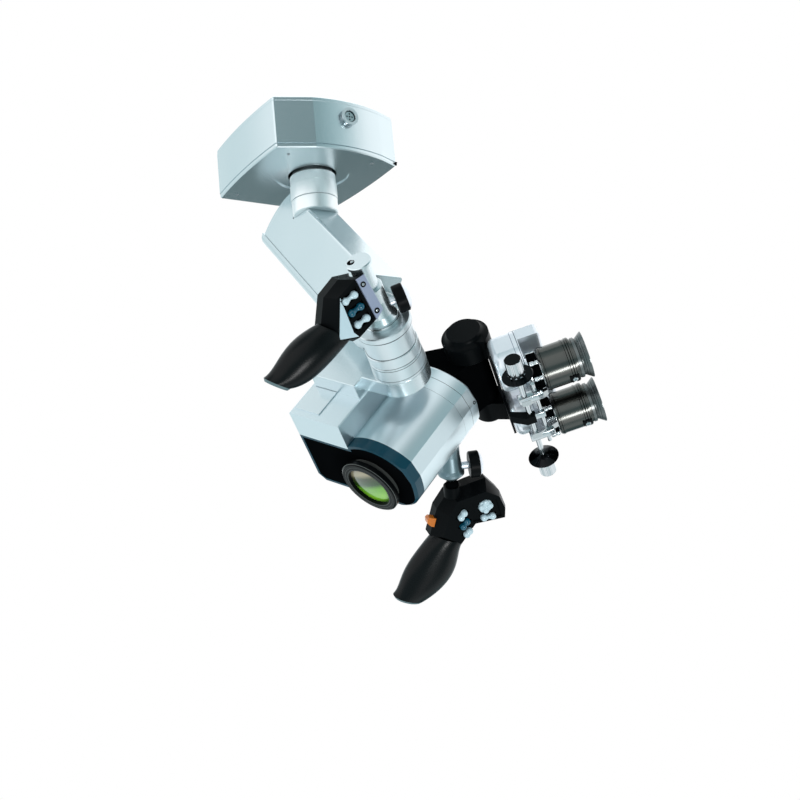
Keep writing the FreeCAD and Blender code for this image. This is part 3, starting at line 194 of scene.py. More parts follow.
# Shader building
class Coat(Enum):
    """Kinds of surface that the finishes share."""

    METAL = "metal"
    PLASTIC = "plastic"
    GRAINED = "grained"
    RUBBER = "rubber"
    GLASS = "glass"


@dataclass(frozen=True)
class Finish:
    """One surface finish.

    Args:
        name: material name.
        coat: kind of surface; not used.
        color: base colour in linear values.
        shade: second colour that the fine variation mixes in.
        metallic: how metallic the surface is.
        roughness: middle roughness.
        swing: how far the roughness varies.
        grain: size of the surface grain, in repeats per metre.
        depth: height of the grain in metres.
        clear: weight of the clear coat.
        shine: specular level of a surface that isn't metal.
    """

    name: str
    coat: Coat
    color: tuple
    shade: tuple
    metallic: float = 0.0
    roughness: float = 0.4
    swing: float = 0.06
    grain: float = 900.0
    depth: float = 0.00002
    clear: float = 0.0
    shine: float = 0.5


def grain_group() -> bpy.types.NodeTree:
    """Node group that turns a position into fine grain and slow drift.

    Returns:
        A group with inputs Vector and Scale and outputs Grain and Drift, both values.
    """
    group = bpy.data.node_groups.new("surface_grain", "ShaderNodeTree")
    group.interface.new_socket("Vector", in_out="INPUT", socket_type="NodeSocketVector")
    group.interface.new_socket("Scale", in_out="INPUT", socket_type="NodeSocketFloat")
    group.interface.new_socket("Grain", in_out="OUTPUT", socket_type="NodeSocketFloat")
    group.interface.new_socket("Drift", in_out="OUTPUT", socket_type="NodeSocketFloat")
    nodes, links = group.nodes, group.links
    start = nodes.new("NodeGroupInput")
    end = nodes.new("NodeGroupOutput")
    fine = nodes.new("ShaderNodeTexNoise")
    fine.inputs["Detail"].default_value = 3.0
    fine.inputs["Roughness"].default_value = 0.6
    cells = nodes.new("ShaderNodeTexVoronoi")
    cells.feature = "SMOOTH_F1"
    slow = nodes.new("ShaderNodeTexNoise")
    slow.inputs["Scale"].default_value = 14.0
    slow.inputs["Detail"].default_value = 2.0
    mix = nodes.new("ShaderNodeMath")
    mix.operation = "MULTIPLY_ADD"
    mix.inputs[1].default_value = 0.6
    links.new(start.outputs["Vector"], fine.inputs["Vector"])
    links.new(start.outputs["Vector"], cells.inputs["Vector"])
    links.new(start.outputs["Vector"], slow.inputs["Vector"])
    links.new(start.outputs["Scale"], fine.inputs["Scale"])
    links.new(start.outputs["Scale"], cells.inputs["Scale"])
    links.new(cells.outputs["Distance"], mix.inputs[0])
    links.new(fine.outputs["Fac"], mix.inputs[2])
    links.new(mix.outputs[0], end.inputs["Grain"])
    links.new(slow.outputs["Fac"], end.inputs["Drift"])
    return group


class Shader:
    """A material under construction.

    Args:
        finish: the finish that the material shows.
    """

    def __init__(self, finish: Finish) -> None:
        self.finish = finish
        self.material = bpy.data.materials.new(finish.name)
        self.material.use_nodes = True
        self.nodes = self.material.node_tree.nodes
        self.links = self.material.node_tree.links
        self.surface = self.nodes["Principled BSDF"]
        self.place = self.nodes.new("ShaderNodeTexCoord")
        self.color = None

    def value(self, operation: str, *terms) -> bpy.types.NodeSocket:
        """Math node over sockets and numbers.

        Args:
            operation: name of the math operation.
            terms: sockets or plain numbers, in order.

        Returns:
            The result's socket.
        """
        node = self.nodes.new("ShaderNodeMath")
        node.operation = operation
        for index, term in enumerate(terms):
            if isinstance(term, (int, float)):
                node.inputs[index].default_value = term
            else:
                self.links.new(term, node.inputs[index])
        return node.outputs[0]

    def along(self, frame: Matrix, axis: int) -> bpy.types.NodeSocket:
        """Distance along one axis of a frame, in millimetres.

        Args:
            frame: the frame to measure in.
            axis: 0, 1 or 2.

        Returns:
            Socket with the signed distance.
        """
        way = frame.to_3x3().col[axis]
        dot = self.nodes.new("ShaderNodeVectorMath")
        dot.operation = "DOT_PRODUCT"
        dot.inputs[1].default_value = way
        self.links.new(self.place.outputs["Object"], dot.inputs[0])
        offset = way.dot(frame.translation)
        return self.value("MULTIPLY", self.value("SUBTRACT", dot.outputs["Value"], offset), 1000.0)

    def reach(self, frame: Matrix) -> bpy.types.NodeSocket:
        """Distance from the Z axis of a frame, in millimetres."""
        across, rise = self.along(frame, 0), self.along(frame, 1)
        return self.value("SQRT", self.value("ADD", self.value("MULTIPLY", across, across),
                                             self.value("MULTIPLY", rise, rise)))

    def near(self, socket: bpy.types.NodeSocket, level: float, width: float) -> bpy.types.NodeSocket:
        """Mask that is one within a width of a level."""
        return self.value("COMPARE", socket, level, width)

    def blend(self, mask: bpy.types.NodeSocket, color: tuple) -> None:
        """Lay a colour over the base where a mask is one.

        Args:
            mask: socket that is one where the colour goes.
            color: linear red, green and blue.
        """
        mix = self.nodes.new("ShaderNodeMix")
        mix.data_type = "RGBA"
        self.links.new(mask, mix.inputs["Factor"])
        self.links.new(self.color, mix.inputs["A"])
        mix.inputs["B"].default_value = (*color, 1)
        self.color = mix.outputs["Result"]

    def base(self, group: bpy.types.NodeTree) -> None:
        """Colour, roughness and bump that come from the shared grain.

        Args:
            group: shared node group with the grain.
        """
        finish = self.finish
        grain = self.nodes.new("ShaderNodeGroup")
        grain.node_tree = group
        grain.inputs["Scale"].default_value = finish.grain
        self.links.new(self.place.outputs["Object"], grain.inputs["Vector"])
        tint = self.nodes.new("ShaderNodeMix")
        tint.data_type = "RGBA"
        tint.inputs["A"].default_value = (*finish.color, 1)
        tint.inputs["B"].default_value = (*finish.shade, 1)
        self.links.new(grain.outputs["Drift"], tint.inputs["Factor"])
        self.color = tint.outputs["Result"]
        spread = self.value("MULTIPLY_ADD", grain.outputs["Grain"], finish.swing, finish.roughness - finish.swing / 2)
        self.links.new(spread, self.surface.inputs["Roughness"])
        bump = self.nodes.new("ShaderNodeBump")
        bump.inputs["Distance"].default_value = finish.depth
        bump.inputs["Strength"].default_value = 0.9
        self.links.new(grain.outputs["Grain"], bump.inputs["Height"])
        self.links.new(bump.outputs["Normal"], self.surface.inputs["Normal"])
        self.surface.inputs["Metallic"].default_value = finish.metallic
        self.surface.inputs["Coat Weight"].default_value = finish.clear
        self.surface.inputs["Coat Roughness"].default_value = 0.12
        self.surface.inputs["Specular IOR Level"].default_value = finish.shine

    def done(self) -> bpy.types.Material:
        """Join the last colour to the surface and return the material."""
        self.links.new(self.color, self.surface.inputs["Base Color"])
        return self.material


SILVER = Finish("silver_paint", Coat.METAL, (0.66, 0.74, 0.77), (0.71, 0.78, 0.81), 0.94, 0.25, 0.05, 2600.0,
                0.000003, 0.2)
ALUMINIUM = Finish("machined_aluminium", Coat.METAL, (0.66, 0.70, 0.72), (0.58, 0.62, 0.65), 1.0, 0.26, 0.08, 1500.0,
                   0.000004)
PEARL = Finish("pearl_paint", Coat.METAL, (0.86, 0.89, 0.95), (0.90, 0.92, 0.97), 0.6, 0.24, 0.05, 2000.0,
               0.000003, 0.3)
CHROME = Finish("socket_chrome", Coat.METAL, (0.62, 0.65, 0.67), (0.55, 0.58, 0.60), 1.0, 0.13, 0.04, 600.0,
                0.000002)
STEEL = Finish("bearing_steel", Coat.METAL, (0.36, 0.38, 0.40), (0.42, 0.44, 0.46), 1.0, 0.3, 0.1, 900.0, 0.000004)
TEAL = Finish("teal_paint", Coat.METAL, (0.001, 0.040, 0.066), (0.0014, 0.050, 0.080), 0.1, 0.34, 0.06, 2200.0,
              0.000004, 0.15, 0.2)
ANODISED = Finish("black_anodised", Coat.METAL, (0.0015, 0.0018, 0.002), (0.003, 0.0034, 0.004), 0.0, 0.2, 0.08,
                  1500.0, 0.000004, 0.0, 0.0)
GUNMETAL = Finish("black_gunmetal", Coat.METAL, (0.085, 0.087, 0.082), (0.10, 0.102, 0.096), 1.0, 0.2, 0.06, 900.0,
                  0.000003)
BLACK = Finish("black_satin", Coat.PLASTIC, (0.0022, 0.0028, 0.0032), (0.0035, 0.0042, 0.005), 0.0, 0.33, 0.1,
               1300.0, 0.000008, 0.0, 0.05)
GRIP = Finish("grip_black", Coat.GRAINED, (0.002, 0.0025, 0.003), (0.004, 0.005, 0.0055), 0.0, 0.24, 0.14, 1700.0,
              0.00006, 0.0, 0.16)
RUBBER = Finish("eyecup_rubber", Coat.RUBBER, (0.13, 0.14, 0.14), (0.17, 0.18, 0.18), 0.8, 0.26, 0.12, 800.0,
                0.00002, 0.0, 0.5)
CAP = Finish("cap_grey", Coat.PLASTIC, (0.11, 0.165, 0.18), (0.14, 0.20, 0.215), 0.0, 0.36, 0.08, 1400.0, 0.00001)
PLATE = Finish("plate_lilac", Coat.GRAINED, (0.42, 0.46, 0.60), (0.28, 0.31, 0.43), 0.5, 0.36, 0.1, 2400.0, 0.00005)
WHITE = Finish("key_white", Coat.PLASTIC, (0.62, 0.74, 0.80), (0.56, 0.69, 0.76), 0.0, 0.2, 0.05, 700.0, 0.000004,
               0.4)
BLUE = Finish("key_blue", Coat.PLASTIC, (0.0, 0.075, 0.13), (0.0, 0.095, 0.155), 0.0, 0.22, 0.06, 700.0, 0.000004,
              0.4)
ORANGE = Finish("trigger_orange", Coat.PLASTIC, (0.80, 0.21, 0.01), (0.73, 0.17, 0.01), 0.0, 0.28, 0.06, 700.0,
                0.000004, 0.4)
GLASS = Finish("coated_glass", Coat.GLASS, (0.30, 0.62, 0.04), (0.40, 0.70, 0.06), 0.0, 0.06, 0.02, 40.0, 0.000001)
CLEAR = Finish("clear_glass", Coat.GLASS, (0.03, 0.035, 0.04), (0.04, 0.045, 0.05), 0.0, 0.05, 0.02, 40.0, 0.000001)


class Palette:
    """All materials of the object, made once."""

    def __init__(self) -> None:
        self.group = grain_group()
        self.made = {}
        for finish in (SILVER, ALUMINIUM, PEARL, CHROME, STEEL, TEAL, ANODISED, GUNMETAL, BLACK, PLATE,
                       WHITE, BLUE, ORANGE, CLEAR):
            self.made[finish.name] = self.start(finish).done()
        self.made[GLASS.name] = self.coated()
        self.made["body_silver"] = self.seamed()
        self.made["upper_grip"] = self.parted(GRIP, "upper_grip_black", LAYOUT.upper_handle(), -1.0)
        self.made["lower_grip"] = self.parted(GRIP, "lower_grip_black", LAYOUT.lower_handle(), 2.0)
        self.made["upper_cap"] = self.parted(CAP, "upper_cap_grey", LAYOUT.upper_handle(), -1.0)
        self.made["lower_cap"] = self.parted(CAP, "lower_cap_grey", LAYOUT.lower_handle(), 2.0)
        self.made["prism_cover"] = self.prism_cover()
        self.made["spindle"] = self.spindle()
        self.made["eyepiece"] = self.eyepiece()
        self.made["stack_silver"] = self.ringed()
        shaft = replace(SILVER, name="shaft_satin", color=(0.95, 0.98, 0.99), shade=(0.97, 0.99, 1.0),
                        metallic=0.6, roughness=0.3)
        # The lower post is a copy of the silver paint with painted shade: its colour is darkened.
        post = replace(SILVER, name="post_shaded_silver", color=(0.22, 0.29, 0.32), shade=(0.26, 0.33, 0.36),
                       roughness=0.34, clear=0.0)
        for finish in (shaft, post):
            self.made[finish.name] = self.start(finish).done()
        self.made["socket_face"] = self.socket()
        self.made["mount_black"] = self.mount()
        self.made["eyecup_rubber"] = self.cup()
        upper_wheel = aimed(LAYOUT.grip_side(), (0, -37.2, 0), (-1, 0, 0))
        self.made["knob_upper"] = self.knob("knob_upper", upper_wheel)
        self.made["knob_lower"] = self.knob("knob_lower", Binocular.knob_frame())

    def start(self, finish: Finish) -> Shader:
        """Material of a finish, so far with its grain only.

        Args:
            finish: the finish that it shows.

        Returns:
            The material under construction.
        """
        shader = Shader(finish)
        shader.base(self.group)
        return shader

    def coated(self) -> bpy.types.Material:
        """Front glass: green coating, with a painted dark reflection band across the middle and a painted warm
        reflection at the top.

        Returns:
            The material.
        """
        shader = self.start(GLASS)
        lens = LAYOUT.lens() @ Matrix.Rotation(math.radians(-22), 4, "Z")
        # The ramp paints reflections into the coating's green: a painted warm reflection at the top and a painted
        # dark reflection band across the middle.
        ramp = shader.nodes.new("ShaderNodeValToRGB")
        ramp.color_ramp.interpolation = "EASE"
        ramp.color_ramp.elements[0].color = (0.40, 0.30, 0.22, 1)
        ramp.color_ramp.elements[1].color = (0.10, 0.24, 0.015, 1)
        for spot, color in ((0.16, (0.42, 0.34, 0.22)), (0.30, (0.05, 0.06, 0.02)), (0.44, (0.02, 0.06, 0.004)),
                            (0.60, (0.16, 0.42, 0.02)), (0.84, (0.26, 0.58, 0.03))):
            ramp.color_ramp.elements.new(spot).color = (*color, 1)
        shader.links.new(shader.value("MULTIPLY_ADD", shader.along(lens, 1), 1 / 54, 0.5), ramp.inputs["Fac"])
        shader.color = ramp.outputs["Color"]
        shader.surface.inputs["Coat Weight"].default_value = 0.6
        return shader.done()

    def mount(self) -> bpy.types.Material:
        """Black lens mount with painted highlight lines on its turned steps.

        Returns:
            The material.
        """
        shader = self.start(replace(ANODISED, name="mount_black", shine=0.08, roughness=0.2))
        reach = shader.reach(LAYOUT.lens())
        # Painted highlights: lighter lines at the edges of the turned steps.
        for level, tone in ((36.4, 0.10), (33.2, 0.02), (31.4, 0.06), (28.2, 0.08)):
            shader.blend(shader.near(reach, level, 0.3), (tone, tone * 1.05, tone))
        return shader.done()

    def seamed(self) -> bpy.types.Material:
        """Silver paint with the dark parting lines of the microscope body.

        Returns:
            The material.
        """
        shader = self.start(replace(SILVER, name="body_silver", color=(0.70, 0.79, 0.83), shade=(0.75, 0.84, 0.88),
                                    roughness=0.3, metallic=0.9))
        height = shader.along(LAYOUT.head(), 2)
        for level, width in ((14.1, 0.28), (30.6, 0.28)):
            shader.blend(shader.near(height, level, width), (0.03, 0.05, 0.06))
        return shader.done()

    def parted(self, finish: Finish, name: str, frame: Matrix,
               level: float) -> bpy.types.Material:
        """A handle's finish with the fine dark parting line of its two half shells.

        Args:
            finish: finish of the handle's piece.
            name: name of the material.
            frame: frame of the handle.
            level: height of the parting line.

        Returns:
            The material.
        """
        shader = self.start(replace(finish, name=name))
        shader.blend(shader.near(shader.along(frame, 2), level, 0.22), (0.0012, 0.0012, 0.0014))
        return shader.done()

    def ringed(self) -> bpy.types.Material:
        """Silver paint with the turned joint's fine dark ring lines.

        Returns:
            The material.
        """
        shader = self.start(replace(SILVER, name="stack_silver", color=(0.70, 0.76, 0.79), roughness=0.34,
                                    metallic=0.85))
        down = shader.along(LAYOUT.head(), 1)
        for level in (-11.9, -9.2, 13.6, 27.4, 30.2, 44.6):
            shader.blend(shader.near(down, level, 0.33), (0.05, 0.07, 0.08))
        return shader.done()

    def prism_cover(self) -> bpy.types.Material:
        """Pearl cover with its seam; the spindle's nut below it stays bright metal.

        Returns:
            The material.
        """
        shader = self.start(replace(PEARL, name="prism_cover"))
        frame = LAYOUT.tube()
        along = shader.along(frame, 0)
        shader.blend(shader.near(along, 52.6, 0.4), (0.06, 0.08, 0.11))
        shader.blend(shader.near(along, 47.4, 0.4), (0.32, 0.34, 0.42))
        low = shader.value("LESS_THAN", shader.along(frame, 2), -78.0)
        far = shader.value("GREATER_THAN", along, 61.0)
        side = shader.value("LESS_THAN", shader.along(frame, 2), -39.0)
        mount = shader.value("MULTIPLY", far, side)
        shader.blend(mount, (0.02, 0.022, 0.024))
        shader.blend(low, (0.55, 0.57, 0.58))
        shader.links.new(shader.value("MULTIPLY_ADD", low, 0.45, 0.55), shader.surface.inputs["Metallic"])
        return shader.done()

    def socket(self) -> bpy.types.Material:
        """Socket with a bright rim, a grey face, painted shade in the gap between them and painted shade in its five
        pin holes.

        Returns:
            The material.
        """
        shader = self.start(replace(ALUMINIUM, name="socket_face"))
        face = aimed(Matrix(), (6, 0, -22), (0, -1, 0))
        reach = shader.reach(face)
        # Painted shade: dark ring where the gap between the rim and the face lies.
        shader.blend(shader.value("LESS_THAN", reach, 6.9), (0.03, 0.045, 0.05))
        shader.blend(shader.value("LESS_THAN", reach, 6.0), (0.36, 0.44, 0.46))
        # Painted shade in the five pin holes.
        for x, y in ((0, 0), (3.4, 0), (-3.4, 0), (0, 3.4), (0, -3.4)):
            shader.blend(shader.value("LESS_THAN", shader.reach(shifted(face, x, y)), 1.0), (0.004, 0.005, 0.006))
        return shader.done()

    def spindle(self) -> bpy.types.Material:
        """Bright spindle whose hand wheels have black skirts and end faces.

        Returns:
            The material.
        """
        shader = self.start(replace(CHROME, name="spindle"))
        out = shader.value("ABSOLUTE", shader.along(LAYOUT.tube(), 1))
        skirt = shader.value("MULTIPLY", shader.value("GREATER_THAN", out, 60.0),
                             shader.value("LESS_THAN", out, 67.3))
        end = shader.value("GREATER_THAN", out, 90.4)
        dark = shader.value("MAXIMUM", skirt, end)
        shader.blend(dark, (0.012, 0.013, 0.014))
        return shader.done()

    def cup(self) -> bpy.types.Material:
        """Rubber of the eyecups with its fine ribs.

        Returns:
            The material.
        """
        shader = self.start(RUBBER)
        along = shader.along(LAYOUT.tube(), 0)
        for level in (113.4, 115.6, 117.8):
            shader.blend(shader.near(along, level, 0.3), (0.03, 0.036, 0.036))
        return shader.done()

    def eyepiece(self) -> bpy.types.Material:
        """Black mirror finish of the eyepieces with turned ring lines.

        Returns:
            The material.
        """
        shader = self.start(replace(GUNMETAL, name="eyepiece_black"))
        along = shader.along(LAYOUT.tube(), 0)
        for level in (71.5, 98.6, 101.4, 104.0):
            shader.blend(shader.near(along, level, 0.35), (0.002, 0.002, 0.002))
        return shader.done()

    def knob(self, name: str, frame: Matrix) -> bpy.types.Material:
        """Hand wheel: black rim and stem end, silver dome.

        Args:
            name: name of the material.
            frame: frame with Z out of the wheel.

        Returns:
            The material.
        """
        shader = self.start(replace(BLACK, name=name))
        out = shader.along(frame, 2)
        dome = shader.value("GREATER_THAN", out, 33.3)
        stem = shader.value("LESS_THAN", out, 21.2)
        metal = shader.value("MAXIMUM", dome, stem)
        shader.blend(metal, (0.74, 0.78, 0.84))
        shader.links.new(metal, shader.surface.inputs["Metallic"])
        return shader.done()

    def paint(self, item: bpy.types.Object, name: str) -> None:
        """Give an object one of the materials as its only one."""
        item.data.materials.clear()
        item.data.materials.append(self.made[name])


# Piece building
class Clay:
    """A mesh modelled step by step in edit mode, in millimetres of its own frame.

    Args:
        name: name of the piece.
    """

    def __init__(self, name: str) -> None:
        bpy.ops.object.select_all(action="DESELECT")
        mesh = bpy.data.meshes.new(name)
        self.item = bpy.data.objects.new(name, mesh)
        bpy.context.scene.collection.objects.link(self.item)
        bpy.context.view_layer.objects.active = self.item
        self.item.select_set(True)
        bpy.ops.object.mode_set(mode="EDIT")

    def clear(self) -> None:
        """Select nothing."""
        bpy.ops.mesh.select_all(action="DESELECT")

    def turned(self, profile: list, sides: int = 64, spot: tuple = (0, 0)) -> "Clay":
        """Closed turned form that grows ring by ring along Z.

        Args:
            profile: (radius, height) of each ring from the first cap to the last.
            sides: corners of each ring.
            spot: where the axis stands in the XY plane.

        Returns:
            This piece.
        """
        self.clear()
        radius, height = profile[0]
        bpy.ops.mesh.primitive_circle_add(vertices=sides, radius=radius, fill_type="NGON",
                                           location=(*spot, height))
        bpy.ops.mesh.select_mode(type="FACE")
        for ring, level in profile[1:]:
            bpy.ops.mesh.extrude_region_move(TRANSFORM_OT_translate={"value": (0, 0, level - height)})
            share = ring / radius
            bpy.ops.transform.resize(value=(share, share, 1), center_override=(*spot, level))
            radius, height = ring, level
        self.clear()
        return self

    def block(self, size: tuple, centre: tuple = (0, 0, 0), bevel: float = 0.0, segments: int = 2) -> "Clay":
        """Box with softened edges.

        Args:
            size: extent along each axis.
            centre: middle of the box.
            bevel: width of the edge bevel.
            segments: facets across each bevel.

        Returns:
            This piece.
        """
        self.clear()
        bpy.ops.mesh.primitive_cube_add(size=1, location=centre, scale=size)
        if bevel:
            bpy.ops.mesh.bevel(offset=bevel, segments=segments, affect="EDGES")
        self.clear()
        return self

    def shape(self, kind: str, **settings) -> "Clay":
        """Apply one modifier to the whole piece.

        Args:
            kind: the modifier's type.
            settings: its values.

        Returns:
            This piece.
        """
        bpy.ops.object.mode_set(mode="OBJECT")
        bpy.context.view_layer.objects.active = self.item
        modifier = self.item.modifiers.new("shape", kind)
        for key, setting in settings.items():
            setattr(modifier, key, setting)
        bpy.ops.object.modifier_apply(modifier=modifier.name)
        bpy.ops.object.mode_set(mode="EDIT")
        return self

    def melted(self, voxel: float) -> "Clay":
        """Run the piece's overlapping forms into one soft moulding."""
        self.shape("REMESH", mode="VOXEL", voxel_size=voxel)
        return self.shape("SMOOTH", factor=0.5, iterations=4)

    def drilled(self, radius: float, spot: tuple, depth: float) -> "Clay":
        """Bore a round hole along Z through the piece.

        Args:
            radius: radius of the hole.
            spot: (x, y) of the hole's axis.
            depth: how far the drill reaches either way.

        Returns:
            This piece.
        """
        bpy.ops.object.mode_set(mode="OBJECT")
        drill = Clay("drill")
        drill.turned([(radius, -depth), (radius, depth)], 40, spot)
        bpy.ops.object.mode_set(mode="OBJECT")
        drill.item.select_set(False)
        self.item.select_set(True)
        bpy.context.view_layer.objects.active = self.item
        bpy.ops.object.mode_set(mode="EDIT")
        self.shape("BOOLEAN", operation="DIFFERENCE", solver="EXACT", object=drill.item)
        bpy.data.objects.remove(drill.item)
        return self

    def finish(self, frame: Matrix, angle: float = 35.0) -> bpy.types.Object:
        """Leave edit mode, turn normals out and put the mesh in its place.

        Args:
            frame: frame that the piece was modelled in.
            angle: edges sharper than this stay crisp.

        Returns:
            The finished object, itself at the origin.
        """
        bpy.ops.mesh.select_all(action="SELECT")
        bpy.ops.mesh.normals_make_consistent(inside=False)
        bpy.ops.mesh.faces_shade_smooth()
        self.clear()
        bpy.ops.object.mode_set(mode="OBJECT")
        self.item.data.transform(frame @ Matrix.Scale(MM, 4))
        self.item.data.set_sharp_from_angle(angle=math.radians(angle))
        self.item.select_set(False)
        return self.item


@dataclass
class Assembly:
    """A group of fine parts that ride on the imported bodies.

    Args:
        palette: the object's materials.
    """

    palette: Palette
    made: list = field(default_factory=list)

    def add(self, clay: Clay, frame: Matrix, body: str, finish: str, replaces: tuple = ()) -> bpy.types.Object:
        """Finish a piece, paint it and put it on its body.

        Args:
            clay: the modelled piece.
            frame: frame that it was modelled in.
            body: body that it rides on.
            finish: name of its material.
            replaces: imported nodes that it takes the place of.

        Returns:
            The finished object.
        """
        item = clay.finish(frame)
        self.palette.paint(item, finish)
        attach(item, body)
        if replaces:
            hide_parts(*replaces)
        self.made.append(item)
        return item

    def dress(self, nodes: dict, looks: dict) -> None:
        """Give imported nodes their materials."""
        for name, finish in looks.items():
            self.palette.paint(nodes[name], finish)
            for polygon in nodes[name].data.polygons:
                polygon.use_smooth = True
            nodes[name].data.set_sharp_from_angle(angle=math.radians(32))

    def build(self) -> None:
        """Model the pieces of this group."""


SLOTS = set()


@dataclass
class CeilingBox(Assembly):
    """Box with its floor screws and corner clip."""

    def build(self) -> None:
        """Model the screws and the clip."""
        for number, (across, along) in enumerate(((-58, -48), (48, -58), (-60, 80), (60, 80)), start=1):
            screw = Clay("floor_screw_%d" % number)
            screw.turned([(1.5, 0.5), (1.7, 0), (1.7, -0.5), (1.4, -0.8), (0.9, -0.8), (0.8, -0.4)], 32)
            self.add(screw, shifted(Matrix(), across, along, -63), "box", "bearing_steel")
        clip = Clay("corner_clip")
        clip.block((2.2, 2.0, 4.2), (0, 0, 0), 0.5)
        clip.block((2.8, 1.2, 1.4), (0, -0.9, 1.2), 0.3)
        self.add(clip, shifted(Matrix(), 79.4, -61.6, -60.4), "box", "black_satin")

    def dress_nodes(self, nodes: dict) -> None:
        """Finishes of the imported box."""
        self.dress(nodes, {"box_shell": "silver_paint", "top_cover": "silver_paint", "bottom_plate": "silver_paint",
                           "bearing_quill": "machined_aluminium", "swivel_bearings": "bearing_steel",
                           "front_socket": "socket_face"})


@dataclass
class Arm(Assembly):
    """Shaft, arm and joint."""

    def build(self) -> None:
        """Model the index dots on the joint and the eye in the upper post's end disc: a black cup of painted shade
        round a bright pin.
        """
        stack = LAYOUT.head() @ Matrix.Rotation(math.radians(-90), 4, "X")
        for number, angle in enumerate((200, 216), start=1):
            dot = Clay("index_dot_%d" % number)
            dot.turned([(0.9, 0.1), (0.9, -0.2), (0.7, -0.3)], 20)
            spin = Matrix.Rotation(math.radians(angle), 4, "Z")
            self.add(dot, shifted(stack @ spin, 26, 0, -19), "knuckle", "black_satin")
        eye = aimed(Matrix(), (-69.43, -177.63, -240.38), (-0.628, -0.5503, 0.5503))
        # Black cup that paints the shade inside the eye's hole.
        cup = Clay("post_eye_shade_cup")
        cup.turned([(3.9, -1.8), (4.15, -1.5), (4.15, 1.5), (3.5, 1.8), (3.2, 0.2)], 48)
        self.add(cup, eye, "knuckle", "black_satin")
        pin = Clay("post_eye_pin")
        pin.turned([(1.6, -1), (1.8, 0.4), (1.8, 1.9), (1.4, 2.4), (0.5, 2.6)], 32, (1.1, -0.9))
        self.add(pin, eye, "knuckle", "socket_chrome")

    def dress_nodes(self, nodes: dict) -> None:
        """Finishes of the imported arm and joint.

        Args:
            nodes: packed objects by name.
        """
        for name in ("arm_housing", "shoulder_cover", "duct_cover", "upper_post"):
            self.dress(nodes, {name: "silver_paint"})
        for name in ("joint_housing", "joint_collar", "turning_ring"):
            self.dress(nodes, {name: "stack_silver"})
        self.dress(nodes, {"arm_end_ring": "machined_aluminium",
                           "swivel_shaft": "shaft_satin", "shaft_cap": "shaft_satin"})


@dataclass
class OpticsBody(Assembly):
    """Microscope body, front lens and the lower post."""

    def build(self) -> None:
        """Model the cover's small screws and the grub screw on the side."""
        spots = ((-96, 110), (-96, 170), (-60, 170), (22, 118), (36, 150), (-50, 111))
        for number, (x, y) in enumerate(spots, start=1):
            screw = Clay("cover_screw_%d" % number)
            screw.turned([(1.3, 0.4), (1.4, 0), (1.4, -0.3), (1.1, -0.5), (0.6, -0.5), (0.5, -0.2)], 24)
            self.add(screw, shifted(LAYOUT.head(), x, y, -89.4), "head", "black_anodised")
        grub = Clay("side_grub_screw")
        grub.turned([(2.0, -0.6), (2.2, 0.1), (1.7, 0.3), (1.1, 0.2), (1.0, -0.5)], 28)
        spot = Matrix.Translation((0.1286, -0.0981, -0.3598))
        tilt = Vector((0, 0, 1)).rotation_difference(Vector((0.18, -0.95, -0.25))).to_matrix().to_4x4()
        self.add(grub, spot @ tilt, "head", "black_anodised")

    def dress_nodes(self, nodes: dict) -> None:
        """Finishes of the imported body."""
        self.dress(nodes, {"carrier_bracket": "silver_paint", "side_hatch": "silver_paint",
                           "head_plate": "body_silver", "body_shell": "body_silver",
                           "trim_band": "teal_paint", "objective_cover": "black_anodised",
                           "objective_mount": "mount_black", "objective_lens": "coated_glass",
                           "focus_lens": "bearing_steel", "lower_post": "post_shaded_silver",
                           "lower_ball": "black_anodised", "lower_clamp_knob": "knob_lower"})


